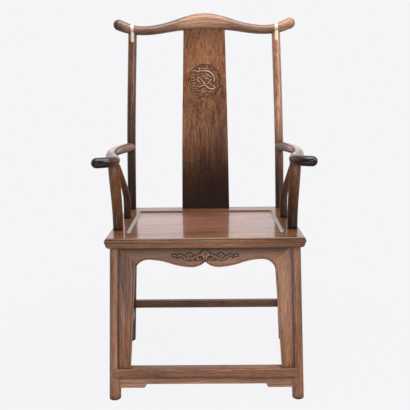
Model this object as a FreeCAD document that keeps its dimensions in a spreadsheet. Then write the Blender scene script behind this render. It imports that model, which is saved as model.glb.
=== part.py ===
import FreeCAD, Part

import math
import os
from types import SimpleNamespace

import Sketcher
from FreeCAD import Matrix, Vector

# An official's hat chair in solid hardwood. X runs to the sitter's left as seen from the front
# of the chair, Y runs to the back, Z runs up. The origin is on the floor under the middle of it.

DIMENSIONS = [
    # The whole chair
    ("overall_height", 1196, "floor to the top of the crest rail"),
    ("overall_depth", 532, "front of the feet to the back of the crest rail"),
    ("overrun", 40, "how far a cutting tool runs past the wood"),
    ("joint_fit", 0.2, "play round a tenon"),
    # Seat frame and panel
    ("seat_width", 588, "seat frame, side to side"),
    ("seat_shortfall", 64, "seat frame less deep than the chair"),
    ("seat_height", 508, "top of the seat frame"),
    ("seat_setback", 6, "seat frame behind the front of the feet"),
    ("frame_thickness", 31, "seat rails, top to bottom"),
    ("side_rail_face", 55.6, "flat top of a side rail"),
    ("end_rail_face", 65.6, "flat top of the front or rear rail"),
    ("lip_width", 8.5, "sloping lip round the sunk panel"),
    ("lip_corner", 9, "rounding of the lip's corners"),
    ("panel_sink", 5, "panel below the frame"),
    ("ledge", 4, "frame under the foot of the lip"),
    ("panel_thickness", 12, ""),
    ("tongue_thickness", 6, "panel tongue"),
    ("tongue_length", 6, "panel tongue"),
    ("tongue_drop", 3.5, "panel top to tongue"),
    ("tongue_play", 1.5, "room for the panel to swell"),
    ("moulding_top_inset", 5.8, "top edge of the moulding"),
    ("moulding_belly_drop", 10.5, "widest line below the top"),
    ("moulding_crease_drop", 15.5, "crease below the top"),
    ("moulding_crease_inset", 2.2, "crease behind the widest line"),
    ("moulding_foot_inset", 9, "underside of the moulding"),
    ("moulding_top_radius", 12.5, "upper round"),
    ("moulding_under_radius", 8, "turn under the belly"),
    ("moulding_lower_radius", 20, "round below the crease"),
    ("rail_tenon_width", 22, "corner tenons of the frame"),
    ("rail_tenon_thickness", 9, ""),
    ("rail_tenon_drop", 12, "top of the frame to the tenon"),
    ("rail_tenon_gap", 8, "panel opening to the tenon"),
    ("rail_tenon_cover", 9, "end of the tenon to the outside"),
    ("batten_spread", 200, "between the two battens"),
    ("batten_width", 34, ""),
    ("batten_depth", 12, "batten below the panel"),
    ("dovetail_depth", 4, "batten in the panel"),
    ("dovetail_flare", 4, "dovetail wider than its neck"),
    ("batten_tenon", 12, "batten end in the rail"),
    # Legs and rear posts
    ("leg_diameter", 35.5, ""),
    ("front_foot_inset", 25, "spread of the front feet less than the seat's width"),
    ("front_top_inset", 59, "the same for the front legs at the seat"),
    ("front_top_setback", 31, "front legs behind the frame's front"),
    ("rear_foot_inset", 8, "spread of the rear feet less than the seat's width"),
    ("rear_top_inset", 53, "the same for the rear legs at the seat"),
    ("rear_foot_setforward", 26, "rear feet in front of the frame's back"),
    ("rear_top_setforward", 27, "rear legs in front of the frame's back"),
    ("foot_round", 3, "worn edge of a foot"),
    ("leg_tenon_width", 15, "front leg in the seat frame"),
    ("leg_tenon_height", 20, ""),
    ("post_diameter", 30.2, "rear post above the seat"),
    ("post_inset", 51, "spread of the posts less than the seat's width"),
    ("post_setforward", 23.5, "rear posts in front of the frame's back"),
    ("post_top_inset", 83.6, "the same at the crest rail"),
    ("crest_tenon_diameter", 13, "post in the crest rail"),
    ("crest_tenon_depth", 8, "past the middle of the rail"),
    # Crest rail
    ("crest_overhang", 50, "crest rail wider than the seat"),
    ("crest_rise", 30.6, "headrest above the rail"),
    ("crest_bow", 13, "headrest behind the rail"),
    ("headrest_height", 55.6, ""),
    ("headrest_depth", 36, ""),
    ("crest_thickness", 30.9, "rail between headrest and tips"),
    ("crest_tip_thickness", 37, ""),
    # Back splat
    ("splat_width", 171, "at the seat"),
    ("splat_top_width", 146, "at the crest rail"),
    ("splat_thickness", 11, ""),
    ("splat_setforward", 19, "splat in front of the frame's back"),
    ("splat_crest_offset", 5, "splat in front of the headrest's middle"),
    ("splat_tongue", 12, "splat in the rail or the crest rail"),
    ("splat_edge", 2, "rounded edges"),
    # Arms
    ("arm_rear_height", 734, "middle of the arm at the rear post"),
    ("arm_front_height", 728.5, "middle of the arm at its front end"),
    ("arm_diameter", 31.2, "at the rear"),
    ("arm_end_diameter", 30.6, "at the front"),
    ("arm_bulge_outset", 9, "spread of the arms more than the seat's width, at the bulge"),
    ("arm_waist_inset", 61, "less than it, over the goosenecks"),
    ("arm_end_outset", 26, "more than it, at the front ends"),
    ("arm_waist_setback", 66, "arm waist behind the seat's front"),
    ("arm_end_setback", 12, "arm end behind the seat's front"),
    ("arm_tenon_diameter", 12, ""),
    ("arm_tenon_length", 10, "past the face of the post or arm"),
    # Goosenecks and side posts
    ("neck_diameter", 31.4, "at the seat"),
    ("neck_top_diameter", 34, "under the arm"),
    ("neck_inset", 48.4, "spread of the goosenecks less than the seat's width"),
    ("neck_top_inset", 52, "the same under the arm"),
    ("neck_setback", 122, "gooseneck behind the seat's front"),
    ("neck_reach", 49, "how far it leans forward"),
    ("side_post_diameter", 24.6, "at the seat"),
    ("side_post_top_diameter", 21, "under the arm"),
    ("side_post_inset", 59.6, "spread of the side posts less than the seat's width"),
    ("side_post_top_outset", 4, "more than it under the arm"),
    ("side_post_setback", 286, "side post behind the seat's front"),
    ("side_post_reach", 36, "how far it leans forward"),
    ("seat_tenon_diameter", 13, "neck or side post in the seat rail"),
    ("seat_tenon_length", 15, ""),
    ("spandrel_length", 60, "along the arm"),
    ("spandrel_height", 66, "below the arm"),
    ("spandrel_lean", 18, "its lower end follows the gooseneck back"),
    ("spandrel_thickness", 8, ""),
    ("spandrel_turn", 21, "degrees outward from straight back"),
    ("spandrel_tip", 5, "width left at its lower end"),
    ("spandrel_lobe_radius", 16.5, ""),
    ("spandrel_cove_radius", 22, ""),
    # Arches below the seat
    ("board_thickness", 11, "aprons and stiles"),
    ("board_setback", 4, "board behind the front of the leg"),
    ("housing_depth", 12.3, "board in the leg's groove"),
    ("arch_height", 440.4, "top of the front opening"),
    ("stile_shoulder", 56.8, "middle of the leg to the opening, at the shoulder"),
    ("stile_end", 52, "middle of the foot to the opening, at the footrest"),
    ("arch_shoulder", 36.4, "height of the corner round"),
    ("arch_corner_run", 38, "width of the corner round"),
    ("arch_corner_radius", 40, ""),
    ("arch_lobe_drop", 23.5, "lobe below the top of the opening"),
    ("arch_lobe_spread", 84, "between the two lobes"),
    ("arch_cusp_drop", 7.8, "cusp below the top of the opening"),
    ("arch_wave_radius", 200, "first bend of the wave"),
    ("arch_return_radius", 225, "second bend of the wave"),
    ("arch_cusp_radius", 58, "bend up to the cusp"),
    ("mitre_margin", 5.5, "top of the mitre to the end of the boards"),
    ("mitre_run", 74, "mitre saw line, across"),
    ("mitre_rise", 64.4, "mitre saw line, upward"),
    ("side_arch_height", 432, "top of the side openings"),
    ("side_stile_shoulder", 43, "middle of the leg to the side opening, at the shoulder"),
    ("side_stile_end", 32, "the same at the side stretcher"),
    ("side_arch_drop", 14, "lobe of the side apron"),
    ("side_arch_lobe_spread", 60, ""),
    ("side_arch_cusp_drop", 5, ""),
    ("side_mitre_run", 60, ""),
    ("side_mitre_rise", 76, ""),
    ("side_board_inset", 3, "side board inside the middle of the legs"),
    ("rear_apron_height", 44, ""),
    ("rear_apron_drop", 105, "length of its ends"),
    ("rear_apron_end_width", 26, ""),
    ("rear_apron_round", 16, ""),
    ("rear_board_setback", 8, "rear apron inside the back of the legs"),
    # Stretchers
    ("footrest_top", 101.5, "above the floor"),
    ("footrest_height", 29, ""),
    ("footrest_depth", 32, ""),
    ("footrest_proud", 1.5, "in front of the legs"),
    ("footrest_edge", 5, "worn edges"),
    ("side_stretcher_top", 128, ""),
    ("side_stretcher_height", 30, ""),
    ("side_stretcher_width", 31, ""),
    ("rear_stretcher_top", 157.5, ""),
    ("rear_stretcher_height", 27.5, ""),
    ("rear_stretcher_width", 26, ""),
    ("stretcher_edge", 6, "rounded edges"),
    ("stretcher_tenon_width", 10, ""),
    ("stretcher_tenon_margin", 6, "stretcher above and below its tenon"),
    ("foot_apron_height", 23, "board under the footrest"),
    ("foot_apron_drop", 12, "its ends hang lower"),
    ("foot_apron_waist", 360, "its raised middle"),
    ("foot_apron_step_run", 11, "ogee between the two"),
    ("foot_apron_step_radius", 8, ""),
    ("foot_apron_setback", 8, "behind the front of the legs"),
    ("foot_apron_thickness", 10, ""),
    # Metal straps
    ("strap_width", 10.5, ""),
    ("strap_thickness", 1.2, ""),
    ("strap_length", 40.4, "from the middle of the crest rail down"),
    ("nail_shank", 1.6, "diameter"),
    ("nail_length", 7, ""),
    ("nail_head", 3.6, "diameter"),
    ("nail_margin", 6, "lower nail above the strap's end"),
]

document = FreeCAD.newDocument("official_hat_chair")
sheet = document.addObject("Spreadsheet::Sheet", "sizes")
for row, (alias, number, note) in enumerate(DIMENSIONS, start=1):
    sheet.set(f"A{row}", alias)
    sheet.set(f"B{row}", str(number))
    sheet.set(f"C{row}", note)
    sheet.setAlias(f"B{row}", alias)
document.recompute()


class Length:
    """A size that keeps its number together with the sheet formula that gives it."""

    def __init__(self, formula, number):
        self.formula = formula
        self.number = float(number)

    def __float__(self):
        return self.number

    def joined(self, sign, other, number):
        return Length(f"({self.formula} {sign} {formula(other)})", number)

    def __add__(self, other):
        return self.joined("+", other, self.number + float(other))

    def __sub__(self, other):
        return self.joined("-", other, self.number - float(other))

    def __mul__(self, other):
        return self.joined("*", other, self.number * float(other))

    def __truediv__(self, other):
        return self.joined("/", other, self.number / float(other))

    def __neg__(self):
        return Length(f"(-1 * {self.formula})", -self.number)


def formula(size):
    """The text of a size in the sheet's language."""
    return size.formula if isinstance(size, Length) else repr(size)


s = SimpleNamespace(
    **{alias: Length(f"sizes.{alias}", sheet.get(alias)) for alias, number, note in DIMENSIONS}
)
ZERO = Length("0", 0)
# What follows the width of the seat or the depth of the chair
s.seat_depth = s.overall_depth - s.seat_shortfall
s.front_foot_spread = s.seat_width - s.front_foot_inset
s.front_top_spread = s.seat_width - s.front_top_inset
s.rear_foot_spread = s.seat_width - s.rear_foot_inset
s.rear_top_spread = s.seat_width - s.rear_top_inset
s.post_spread = s.seat_width - s.post_inset
s.post_top_spread = s.seat_width - s.post_top_inset
s.crest_width = s.seat_width + s.crest_overhang
s.arm_bulge_spread = s.seat_width + s.arm_bulge_outset
s.arm_waist_spread = s.seat_width - s.arm_waist_inset
s.arm_end_spread = s.seat_width + s.arm_end_outset
s.neck_spread = s.seat_width - s.neck_inset
s.neck_top_spread = s.seat_width - s.neck_top_inset
s.side_post_spread = s.seat_width - s.side_post_inset
s.side_post_top_spread = s.seat_width + s.side_post_top_outset


def between(low, high, share):
    """The place at a share of the way from low to high."""
    return low + (high - low) * share


def slope(rise, run):
    """The angle, in degrees, whose tangent is rise over run."""
    return Length(f"atan2({rise.formula}; {run.formula})", math.degrees(math.atan2(rise, run)))


def root(square):
    return Length(f"sqrt({square.formula})", math.sqrt(square))


def triple(place):
    """A place as three bare numbers in one vector."""
    return Vector(*[float(size) for size in place])


# Pieces under construction


def block(name, across, deep, high):
    """A box between the low and high place of each direction."""
    box = document.addObject("Part::Box", name)
    for side, axis, (low, top) in zip(("Length", "Width", "Height"), "xyz", (across, deep, high)):
        box.setExpression(side, (top - low).formula)
        box.setExpression(f"Placement.Base.{axis}", low.formula)
    return box


def upright(name, across, deep, low, top, diameter):
    """An upright round pin or post."""
    pin = document.addObject("Part::Cylinder", name)
    pin.setExpression("Radius", (diameter / 2).formula)
    pin.setExpression("Height", (top - low).formula)
    for axis, size in zip("xyz", (across, deep, low)):
        pin.setExpression(f"Placement.Base.{axis}", size.formula)
    return pin


def stick(name, start, end, diameter):
    """A round stick from one place to another."""
    stick_object = document.addObject("Part::Cylinder", name)
    run, back, rise = [far - near for near, far in zip(start, end)]
    long = root(run * run + back * back + rise * rise)
    place = "; ".join(size.formula for size in start)
    turn = f"rotation(vector({(-back).formula}; {run.formula}; 0); acos({(rise / long).formula}))"
    stick_object.setExpression("Radius", (diameter / 2).formula)
    stick_object.setExpression("Height", long.formula)
    stick_object.setExpression("Placement", f"placement(vector({place}); {turn})")
    return stick_object


def draw(sketch, corners):
    """Close an outline through corners. A corner may hold the radius and side of its next arc."""
    count = len(corners)
    for index, corner in enumerate(corners):
        near = Vector(float(corner[0]), float(corner[1]), 0)
        far = Vector(*[float(size) for size in corners[(index + 1) % count][:2]], 0)
        start, end = 1, 2
        if len(corner) == 2:
            sketch.addGeometry(Part.LineSegment(near, far))
        else:
            radius, side = corner[2:]
            chord = far - near
            reach = math.sqrt(float(radius) ** 2 - chord.Length**2 / 4)
            left = Vector(-chord.y, chord.x, 0).normalize()
            centre = (near + far) / 2 + left * reach * side
            angles = [math.atan2(end_.y - centre.y, end_.x - centre.x) for end_ in (near, far)]
            if side < 0:
                angles.reverse()
                start, end = 2, 1
            circle = Part.Circle(centre, Vector(0, 0, 1), float(radius))
            sketch.addGeometry(Part.ArcOfCircle(circle, *angles))
        corners[index] = (*corner, start, end)
    for index, corner in enumerate(corners):
        after = (index + 1) % count
        start, end = corner[-2:]
        sketch.addConstraint(Sketcher.Constraint("Coincident", index, end, after, corners[after][-2]))
        for kind, size in (("DistanceX", corner[0]), ("DistanceY", corner[1])):
            held = sketch.addConstraint(Sketcher.Constraint(kind, -1, 1, index, start, float(size)))
            sketch.setExpression(f"Constraints[{held}]", formula(size))
        if len(corner) == 6:
            held = sketch.addConstraint(Sketcher.Constraint("Radius", index, float(corner[2])))
            sketch.setExpression(f"Constraints[{held}]", corner[2].formula)


def padded(name, plane, corners, thickness, offset=None, placement=None):
    """A board sawn to an outline: a sketch on one of the body's planes, and its pad."""
    body = document.addObject("PartDesign::Body", name)
    sketch = body.newObject("Sketcher::SketchObject", name + "_outline")
    base = next(item for item in body.Origin.OriginFeatures if item.Role == plane)
    sketch.AttachmentSupport = (base, [""])
    sketch.MapMode = "FlatFace"
    if offset is not None:
        sketch.setExpression("AttachmentOffset.Base.z", offset.formula)
    draw(sketch, list(corners))
    pad = body.newObject("PartDesign::Pad", name + "_pad")
    pad.Profile = sketch
    pad.setExpression("Length", thickness.formula)
    sketch.Visibility = False
    if placement is not None:
        body.setExpression("Placement", placement)
    return body


def rounded(low, high, radius):
    """A rectangle with rounded corners, between two opposite corners."""
    (left, bottom), (right, top) = low, high
    return [
        (left + radius, bottom),
        (right - radius, bottom, radius, 1),
        (right, bottom + radius),
        (right, top - radius, radius, 1),
        (right - radius, top),
        (left + radius, top, radius, 1),
        (left, top - radius),
        (left, bottom + radius, radius, 1),
    ]


def beam(name, start, end, corners):
    """A straight level rail of one section. The outline's first axis is its left, the other up."""
    run, back = end[0] - start[0], end[1] - start[1]
    place = "; ".join(size.formula for size in start)
    turn = f"rotation(vector(0; 0; 1); {slope(back, run).formula})"
    long = root(run * run + back * back)
    return padded(name, "YZ_Plane", corners, long, placement=f"placement(vector({place}); {turn})")


def cut(name, base, *tools):
    """Wood taken off a piece."""
    part = document.addObject("Part::Cut", name)
    part.Base = base
    part.Tool = tools[0] if len(tools) == 1 else fused(name + "_tools", *tools)
    return part


def fused(name, *pieces):
    part = document.addObject("Part::MultiFuse", name)
    part.Shapes = list(pieces)
    return part


def shared(name, *pieces):
    """What two or more blanks have in common."""
    part = document.addObject("Part::MultiCommon", name)
    part.Shapes = list(pieces)
    return part


def mirrored(name, piece):
    """The same piece for the other side of the chair."""
    part = document.addObject("Part::Mirroring", name)
    part.Source = piece
    part.Normal = (1, 0, 0)
    return part


def carved(name, shape):
    """A piece whose form is worked out here from the sheet's sizes."""
    part = document.addObject("Part::Feature", name)
    part.Shape = shape
    return part


def section(centre, along, wide, high):
    """A closed oval of four quarter arcs, square to a direction."""
    along = Vector(along).normalize()
    across = Vector(0, 0, 1).cross(along)
    across = Vector(1, 0, 0) if across.Length < 0.3 else across.normalize()
    up = along.cross(across).normalize()
    turns = [math.radians(angle) for angle in range(0, 361, 45)]
    rim = [Vector(math.cos(turn), math.sin(turn), 0) for turn in turns]
    arcs = [Part.Arc(*rim[step : step + 3]).toShape() for step in (0, 2, 4, 6)]
    across, up = across * (wide / 2), up * (high / 2)
    matrix = Matrix(
        across.x, up.x, along.x, centre.x,
        across.y, up.y, along.y, centre.y,
        across.z, up.z, along.z, centre.z,
        0, 0, 0, 1,
    )
    return Part.Wire(arcs).transformGeometry(matrix)


def bent_stick(stations, direction=None):
    """A curved round member through stations of a centre, a width and a height."""
    wires = []
    for index, (centre, wide, high) in enumerate(stations):
        before = stations[max(index - 1, 0)][0]
        after = stations[min(index + 1, len(stations) - 1)][0]
        wires.append(section(centre, direction or after - before, wide, high))
    return Part.makeLoft(wires, True, False)


def dome(centre, direction, diameter):
    """The rounded end of a stick."""
    return Part.makeSphere(diameter / 2, centre, direction, 0, 90, 360)


# Places that several pieces share

seat_front = -s.overall_depth / 2 + s.seat_setback
seat_rear = seat_front + s.seat_depth
underside = s.seat_height - s.frame_thickness
front_foot = (-s.front_foot_spread / 2, -s.overall_depth / 2 + s.leg_diameter / 2)
front_top = (-s.front_top_spread / 2, seat_front + s.front_top_setback)
rear_foot = (-s.rear_foot_spread / 2, seat_rear - s.rear_foot_setforward)
rear_top = (-s.rear_top_spread / 2, seat_rear - s.rear_top_setforward)


def front_leg_at(height):
    """The middle of the left front leg at a height."""
    share = height / underside
    return tuple(between(foot, top, share) for foot, top in zip(front_foot, front_top))


def rear_leg_at(height):
    """The middle of the left rear leg at a height."""
    share = height / underside
    return tuple(between(foot, top, share) for foot, top in zip(rear_foot, rear_top))


under_seat = block(
    "under_seat",
    (-s.seat_width, s.seat_width),
    (-s.overall_depth, s.overall_depth),
    (ZERO, underside),
)

# Legs below the seat: round sticks that splay outward, sawn level at the floor and at the frame


def leg_blank(name, foot, top):
    """A splayed stick run past both ends, and sawn off at the floor and the seat frame."""
    low = [between(f, t, -s.overrun / underside) for f, t in zip(foot, top)] + [-s.overrun]
    high = [between(f, t, s.overrun / underside + 1) for f, t in zip(foot, top)] + [underside + s.overrun]
    rod = stick(name + "_rod", low, high, s.leg_diameter)
    return rod, shared(name + "_sawn", rod, under_seat)


front_rod, front_sawn = leg_blank("front_leg", front_foot, front_top)
rear_rod, rear_sawn = leg_blank("rear_leg", rear_foot, rear_top)
front_rod_right = mirrored("front_rod_right", front_rod)
rear_rod_right = mirrored("rear_rod_right", rear_rod)
front_tenon = block(
    "front_leg_tenon",
    (front_top[0] - s.leg_tenon_width / 2, front_top[0] + s.leg_tenon_width / 2),
    (front_top[1] - s.leg_tenon_width / 2, front_top[1] + s.leg_tenon_width / 2),
    (underside - s.leg_tenon_height, underside + s.leg_tenon_height),
)
front_mortise = block(
    "front_leg_mortise",
    [front_top[0] + (s.leg_tenon_width / 2 + s.joint_fit) * side for side in (-1, 1)],
    [front_top[1] + (s.leg_tenon_width / 2 + s.joint_fit) * side for side in (-1, 1)],
    (underside - s.overrun, underside + s.leg_tenon_height + s.joint_fit),
)
document.recompute()


def worn_foot(name, leg):
    """The leg with its lowest edge rounded."""
    edges = [
        (number, float(s.foot_round), float(s.foot_round))
        for number, edge in enumerate(leg.Shape.Edges, start=1)
        if edge.BoundBox.ZMax < float(s.foot_round) and edge.Closed
    ]
    part = document.addObject("Part::Fillet", name)
    part.Base = leg
    part.Edges = edges
    return part


front_leg_blank = worn_foot("front_leg_worn", front_sawn)
rear_leg_blank = worn_foot("rear_leg_worn", rear_sawn)

# Crest rail: a yoke of oval sections, with the headrest in the middle and rounded tips

CREST_RUN_SHARES = (0, 0.133, 0.265, 0.398, 0.531, 0.663, 0.763, 0.869, 0.939, 1)
CREST_RISE_SHARES = (1, 0.901, 0.687, 0.402, 0.147, 0, 0.004, 0.18, 0.412, 0.644)
CREST_BOW_SHARES = (1, 0.96, 0.85, 0.66, 0.45, 0.24, 0.1, -0.02, -0.05, -0.05)
HEADREST_SHARES = (1, 0.87, 0.51, 0.18, 0.065, 0, 0.01, 0.02, 0.05, 0.05)
TIP_SHARES = (0, 0, 0, 0, 0, 0, 0, 0.45, 0.75, 0.81)

crest_half = s.crest_width / 2 - s.crest_tip_thickness / 2
crest_low = s.overall_height - s.headrest_height / 2 - s.crest_rise
crest_front = s.overall_depth / 2 - s.headrest_depth / 2 - s.crest_bow


def crest_stations(extra=0.0):
    """Right half of the crest rail, from the middle out, thicker by extra all round."""
    stations = []
    shares = zip(CREST_RUN_SHARES, CREST_RISE_SHARES, CREST_BOW_SHARES, HEADREST_SHARES, TIP_SHARES)
    for run, rise, bow, head, tip in shares:
        centre = triple((crest_half * run, crest_front + s.crest_bow * bow, crest_low + s.crest_rise * rise))
        thick = s.crest_thickness + (s.crest_tip_thickness - s.crest_thickness) * tip
        high = thick + (s.headrest_height - s.crest_thickness) * head
        deep = thick + (s.headrest_depth - s.crest_thickness) * head
        stations.append((centre, float(deep) + 2 * extra, float(high) + 2 * extra))
    tip_size = float(s.crest_tip_thickness) + 2 * extra
    stations[-1] = (stations[-1][0], tip_size, tip_size)
    return stations


def crest_form(extra=0.0):
    """The whole rail, tip to tip."""
    right = crest_stations(extra)
    left = [(Vector(-c.x, c.y, c.z), wide, high) for c, wide, high in reversed(right[1:])]
    rail = bent_stick(left + right)
    end, before = right[-1][0], right[-2][0]
    tip = dome(end, end - before, right[-1][1])
    return rail.fuse([tip, tip.mirror(Vector(0, 0, 0), Vector(1, 0, 0))])


crest_blank = carved("crest_blank", crest_form())

# Rear posts above the seat: an S-curve that stays forward to arm height and then leans back

POST_RISE_SHARES = (0, 0.09, 0.18, 0.36, 0.54, 0.7, 0.855, 0.97, 1)
POST_LEAN_SHARES = (0, -0.035, -0.07, -0.09, 0.09, 0.386, 0.74, 0.985, 1.03)

post_foot = (-s.post_spread / 2, seat_rear - s.post_setforward)
post_top = crest_low
post_top_x = -s.post_top_spread / 2
post_reach = crest_front - post_foot[1]


def post_place(share):
    """The middle of the left rear post at a share of its height above the seat."""
    for low, high, near, far in zip(
        POST_RISE_SHARES, POST_RISE_SHARES[1:], POST_LEAN_SHARES, POST_LEAN_SHARES[1:]
    ):
        if low <= float(share) <= high:
            lean = (share - low) * ((far - near) / (high - low)) + near
    across = between(post_foot[0], post_top_x, share)
    return across, post_foot[1] + post_reach * lean, between(s.seat_height, post_top, share)


def post_at(share):
    return triple(post_place(share))


def post_form(extra=0.0):
    """The post from the top of the seat up into the crest rail."""
    wide = float(s.post_diameter) + 2 * extra
    stations = [(post_at(share), wide, wide) for share in POST_RISE_SHARES]
    return bent_stick(stations, Vector(0, 0, 1))


post_blank = carved("post_blank", post_form())
post_passage = upright("post_passage", *post_foot, underside, s.seat_height, s.post_diameter)
post_passage_right = mirrored("post_passage_right", post_passage)


def pin_pair(name, foot, low, top, diameter, fit_low, fit_top):
    """A round tenon, and the mortise tool that is bigger by the fit."""
    tenon = upright(name + "_tenon", *foot, low, top, diameter)
    wide = diameter + s.joint_fit * 2
    return tenon, upright(name + "_mortise", *foot, low - fit_low, top + fit_top, wide)


crest_tenon, crest_mortise = pin_pair(
    "crest",
    (post_top_x, crest_front),
    post_top - s.crest_thickness,
    post_top + s.crest_tenon_depth,
    s.crest_tenon_diameter,
    ZERO,
    s.joint_fit,
)
crest_mortise_right = mirrored("crest_mortise_right", crest_mortise)

# Back splat: one board bent to an S, wider at the seat, with a tongue at each end

SPLAT_RISE_SHARES = (0, 0.175, 0.33, 0.46, 0.62, 0.78, 0.9, 1)
SPLAT_LEAN_SHARES = (0, -0.167, -0.29, -0.22, 0.055, 0.48, 0.8, 1)

splat_foot = seat_rear - s.splat_setforward
splat_reach = crest_front + s.crest_bow - s.splat_crest_offset - splat_foot
splat_low = s.seat_height - s.splat_tongue
splat_seam = s.overall_height - s.headrest_height
splat_high = splat_seam + s.splat_tongue


def splat_form():
    """The S-curve seen from the side, drawn out to the full width and sawn to its taper."""
    thick = float(s.splat_thickness) / 2
    middle = [
        Vector(0, float(splat_foot + splat_reach * lean), float(between(s.seat_height, splat_seam, rise)))
        for rise, lean in zip(SPLAT_RISE_SHARES, SPLAT_LEAN_SHARES)
    ]
    low = Vector(0, float(splat_foot), float(splat_low))
    high = middle[-1] + (middle[-1] - middle[-2]).normalize() * float(splat_high - splat_seam)
    faces = []
    for side in (-thick, thick):
        curve = Part.BSplineCurve()
        curve.interpolate([place + Vector(0, side, 0) for place in [low] + middle + [high]])
        faces.append(curve.toShape())
    front, back = faces
    stops = (front.FirstParameter, front.LastParameter)
    ends = [Part.makeLine(front.valueAt(at), back.valueAt(at)) for at in stops]
    profile = Part.Face(Part.Wire([front, ends[1], back, ends[0]]))
    wide = float(s.splat_width)
    board = profile.extrude(Vector(wide, 0, 0))
    board.translate(Vector(-wide / 2, 0, 0))
    foot, top = float(s.splat_width) / 2, float(s.splat_top_width) / 2
    bottom_z, top_z = float(splat_low), float(splat_high)
    shoulder_z, rail_z = float(s.seat_height), float(splat_seam)
    outline = [
        Vector(-foot, 0, bottom_z), Vector(foot, 0, bottom_z), Vector(foot, 0, shoulder_z),
        Vector(top, 0, rail_z), Vector(top, 0, top_z), Vector(-top, 0, top_z),
        Vector(-top, 0, rail_z), Vector(-foot, 0, shoulder_z), Vector(-foot, 0, bottom_z),
    ]
    deep = float(s.overall_depth)
    blank = Part.Face(Part.makePolygon(outline)).extrude(Vector(0, deep, 0))
    board = board.common(blank)
    long_edges = [
        edge for edge in board.Edges
        if edge.BoundBox.ZLength > float(splat_seam - s.seat_height) / 2
    ]
    return board.makeFillet(float(s.splat_edge), long_edges)


splat = carved("splat", splat_form())

# Armrests: round, S-shaped in plan, held by the rear post, the side post and the gooseneck

ARM_BACK_SHARES = (0.094, 0.235, 0.396, 0.558, 0.706, 0.84, 0.935, 1)
ARM_BULGE_SHARES = (0.3, 0.72, 0.966, 1, 0.845, 0.466, 0.12, 0)
HOOK_BACK_SHARES = (0.444, 0.778, 1)
HOOK_OUT_SHARES = (0.108, 0.446, 1)

arm_start = post_place((s.arm_rear_height - s.seat_height) / (post_top - s.seat_height))
arm_root = triple(arm_start)
waist_y = seat_front + s.arm_waist_setback
end_y = seat_front + s.arm_end_setback


def arm_stations():
    """Middle line of the left arm, from inside the rear post to the front end."""
    places = [(arm_root.x, arm_root.y)]
    for back, bulge in zip(ARM_BACK_SHARES, ARM_BULGE_SHARES):
        x = -float(between(s.arm_waist_spread, s.arm_bulge_spread, bulge)) / 2
        places.append((x, float(between(arm_start[1], waist_y, back))))
    for back, out in zip(HOOK_BACK_SHARES, HOOK_OUT_SHARES):
        x = -float(between(s.arm_waist_spread, s.arm_end_spread, out)) / 2
        places.append((x, float(between(waist_y, end_y, back))))
    stations = []
    for x, y in places:
        share = (y - arm_root.y) / (float(end_y) - arm_root.y)
        z = float(between(s.arm_rear_height, s.arm_front_height, share))
        wide = float(between(s.arm_diameter, s.arm_end_diameter, share))
        stations.append((Vector(x, y, z), wide, wide))
    return stations


arm_line = arm_stations()
arm_tip = dome(arm_line[-1][0], arm_line[-1][0] - arm_line[-2][0], arm_line[-1][1])
arm_blank = carved("arm_blank", bent_stick(arm_line).fuse(arm_tip))
arm_tenon_reach = s.post_diameter / 2 + s.arm_tenon_length
arm_tenon_end = (arm_start[0], arm_start[1] - arm_tenon_reach, arm_start[2])
arm_tenon = stick("arm_tenon", arm_start, arm_tenon_end, s.arm_tenon_diameter)
arm_mortise_start = (arm_start[0], arm_start[1] + s.joint_fit, arm_start[2])
arm_mortise = stick(
    "arm_mortise", arm_mortise_start, arm_tenon_end, s.arm_tenon_diameter + s.joint_fit * 2
)

# Goosenecks and side posts: bent sticks from the side rails up into the arms

NECK_RISE_SHARES = (0, 0.143, 0.3, 0.457, 0.614, 0.771, 0.888, 1)
NECK_LEAN_SHARES = (0, 0.02, 0.122, 0.327, 0.58, 0.816, 0.939, 1)
SIDE_POST_RISE_SHARES = (0, 0.141, 0.295, 0.405, 0.537, 0.67, 0.802, 1)
SIDE_POST_OUT_SHARES = (0, -0.03, -0.03, 0.05, 0.25, 0.49, 0.75, 1)
SIDE_POST_LEAN_SHARES = (0, 0, 0.06, 0.19, 0.39, 0.6, 0.79, 1)

neck_foot = (-s.neck_spread / 2, seat_front + s.neck_setback)
neck_top = (-s.neck_top_spread / 2, neck_foot[1] - s.neck_reach)
side_post_foot = (-s.side_post_spread / 2, seat_front + s.side_post_setback)
side_post_top = (-s.side_post_top_spread / 2, side_post_foot[1] - s.side_post_reach)


def leaning_form(foot, top, high, rises, outs, leans, low_size, high_size):
    """A bent stick from the seat to the middle of the arm, by shares of its rise and lean."""
    stations = []
    for rise, out, lean in zip(rises, outs, leans):
        centre = triple(
            (
                between(foot[0], top[0], out),
                between(foot[1], top[1], lean),
                between(s.seat_height, high, rise),
            )
        )
        wide = float(between(low_size, high_size, rise))
        stations.append((centre, wide, wide))
    return bent_stick(stations, Vector(0, 0, 1))


neck_blank = carved(
    "neck_blank",
    leaning_form(
        neck_foot, neck_top, s.arm_front_height, NECK_RISE_SHARES,
        NECK_RISE_SHARES, NECK_LEAN_SHARES, s.neck_diameter, s.neck_top_diameter,
    ),
)
side_post_blank = carved(
    "side_post_blank",
    leaning_form(
        side_post_foot, side_post_top, s.arm_rear_height, SIDE_POST_RISE_SHARES,
        SIDE_POST_OUT_SHARES, SIDE_POST_LEAN_SHARES, s.side_post_diameter, s.side_post_top_diameter,
    ),
)


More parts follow.
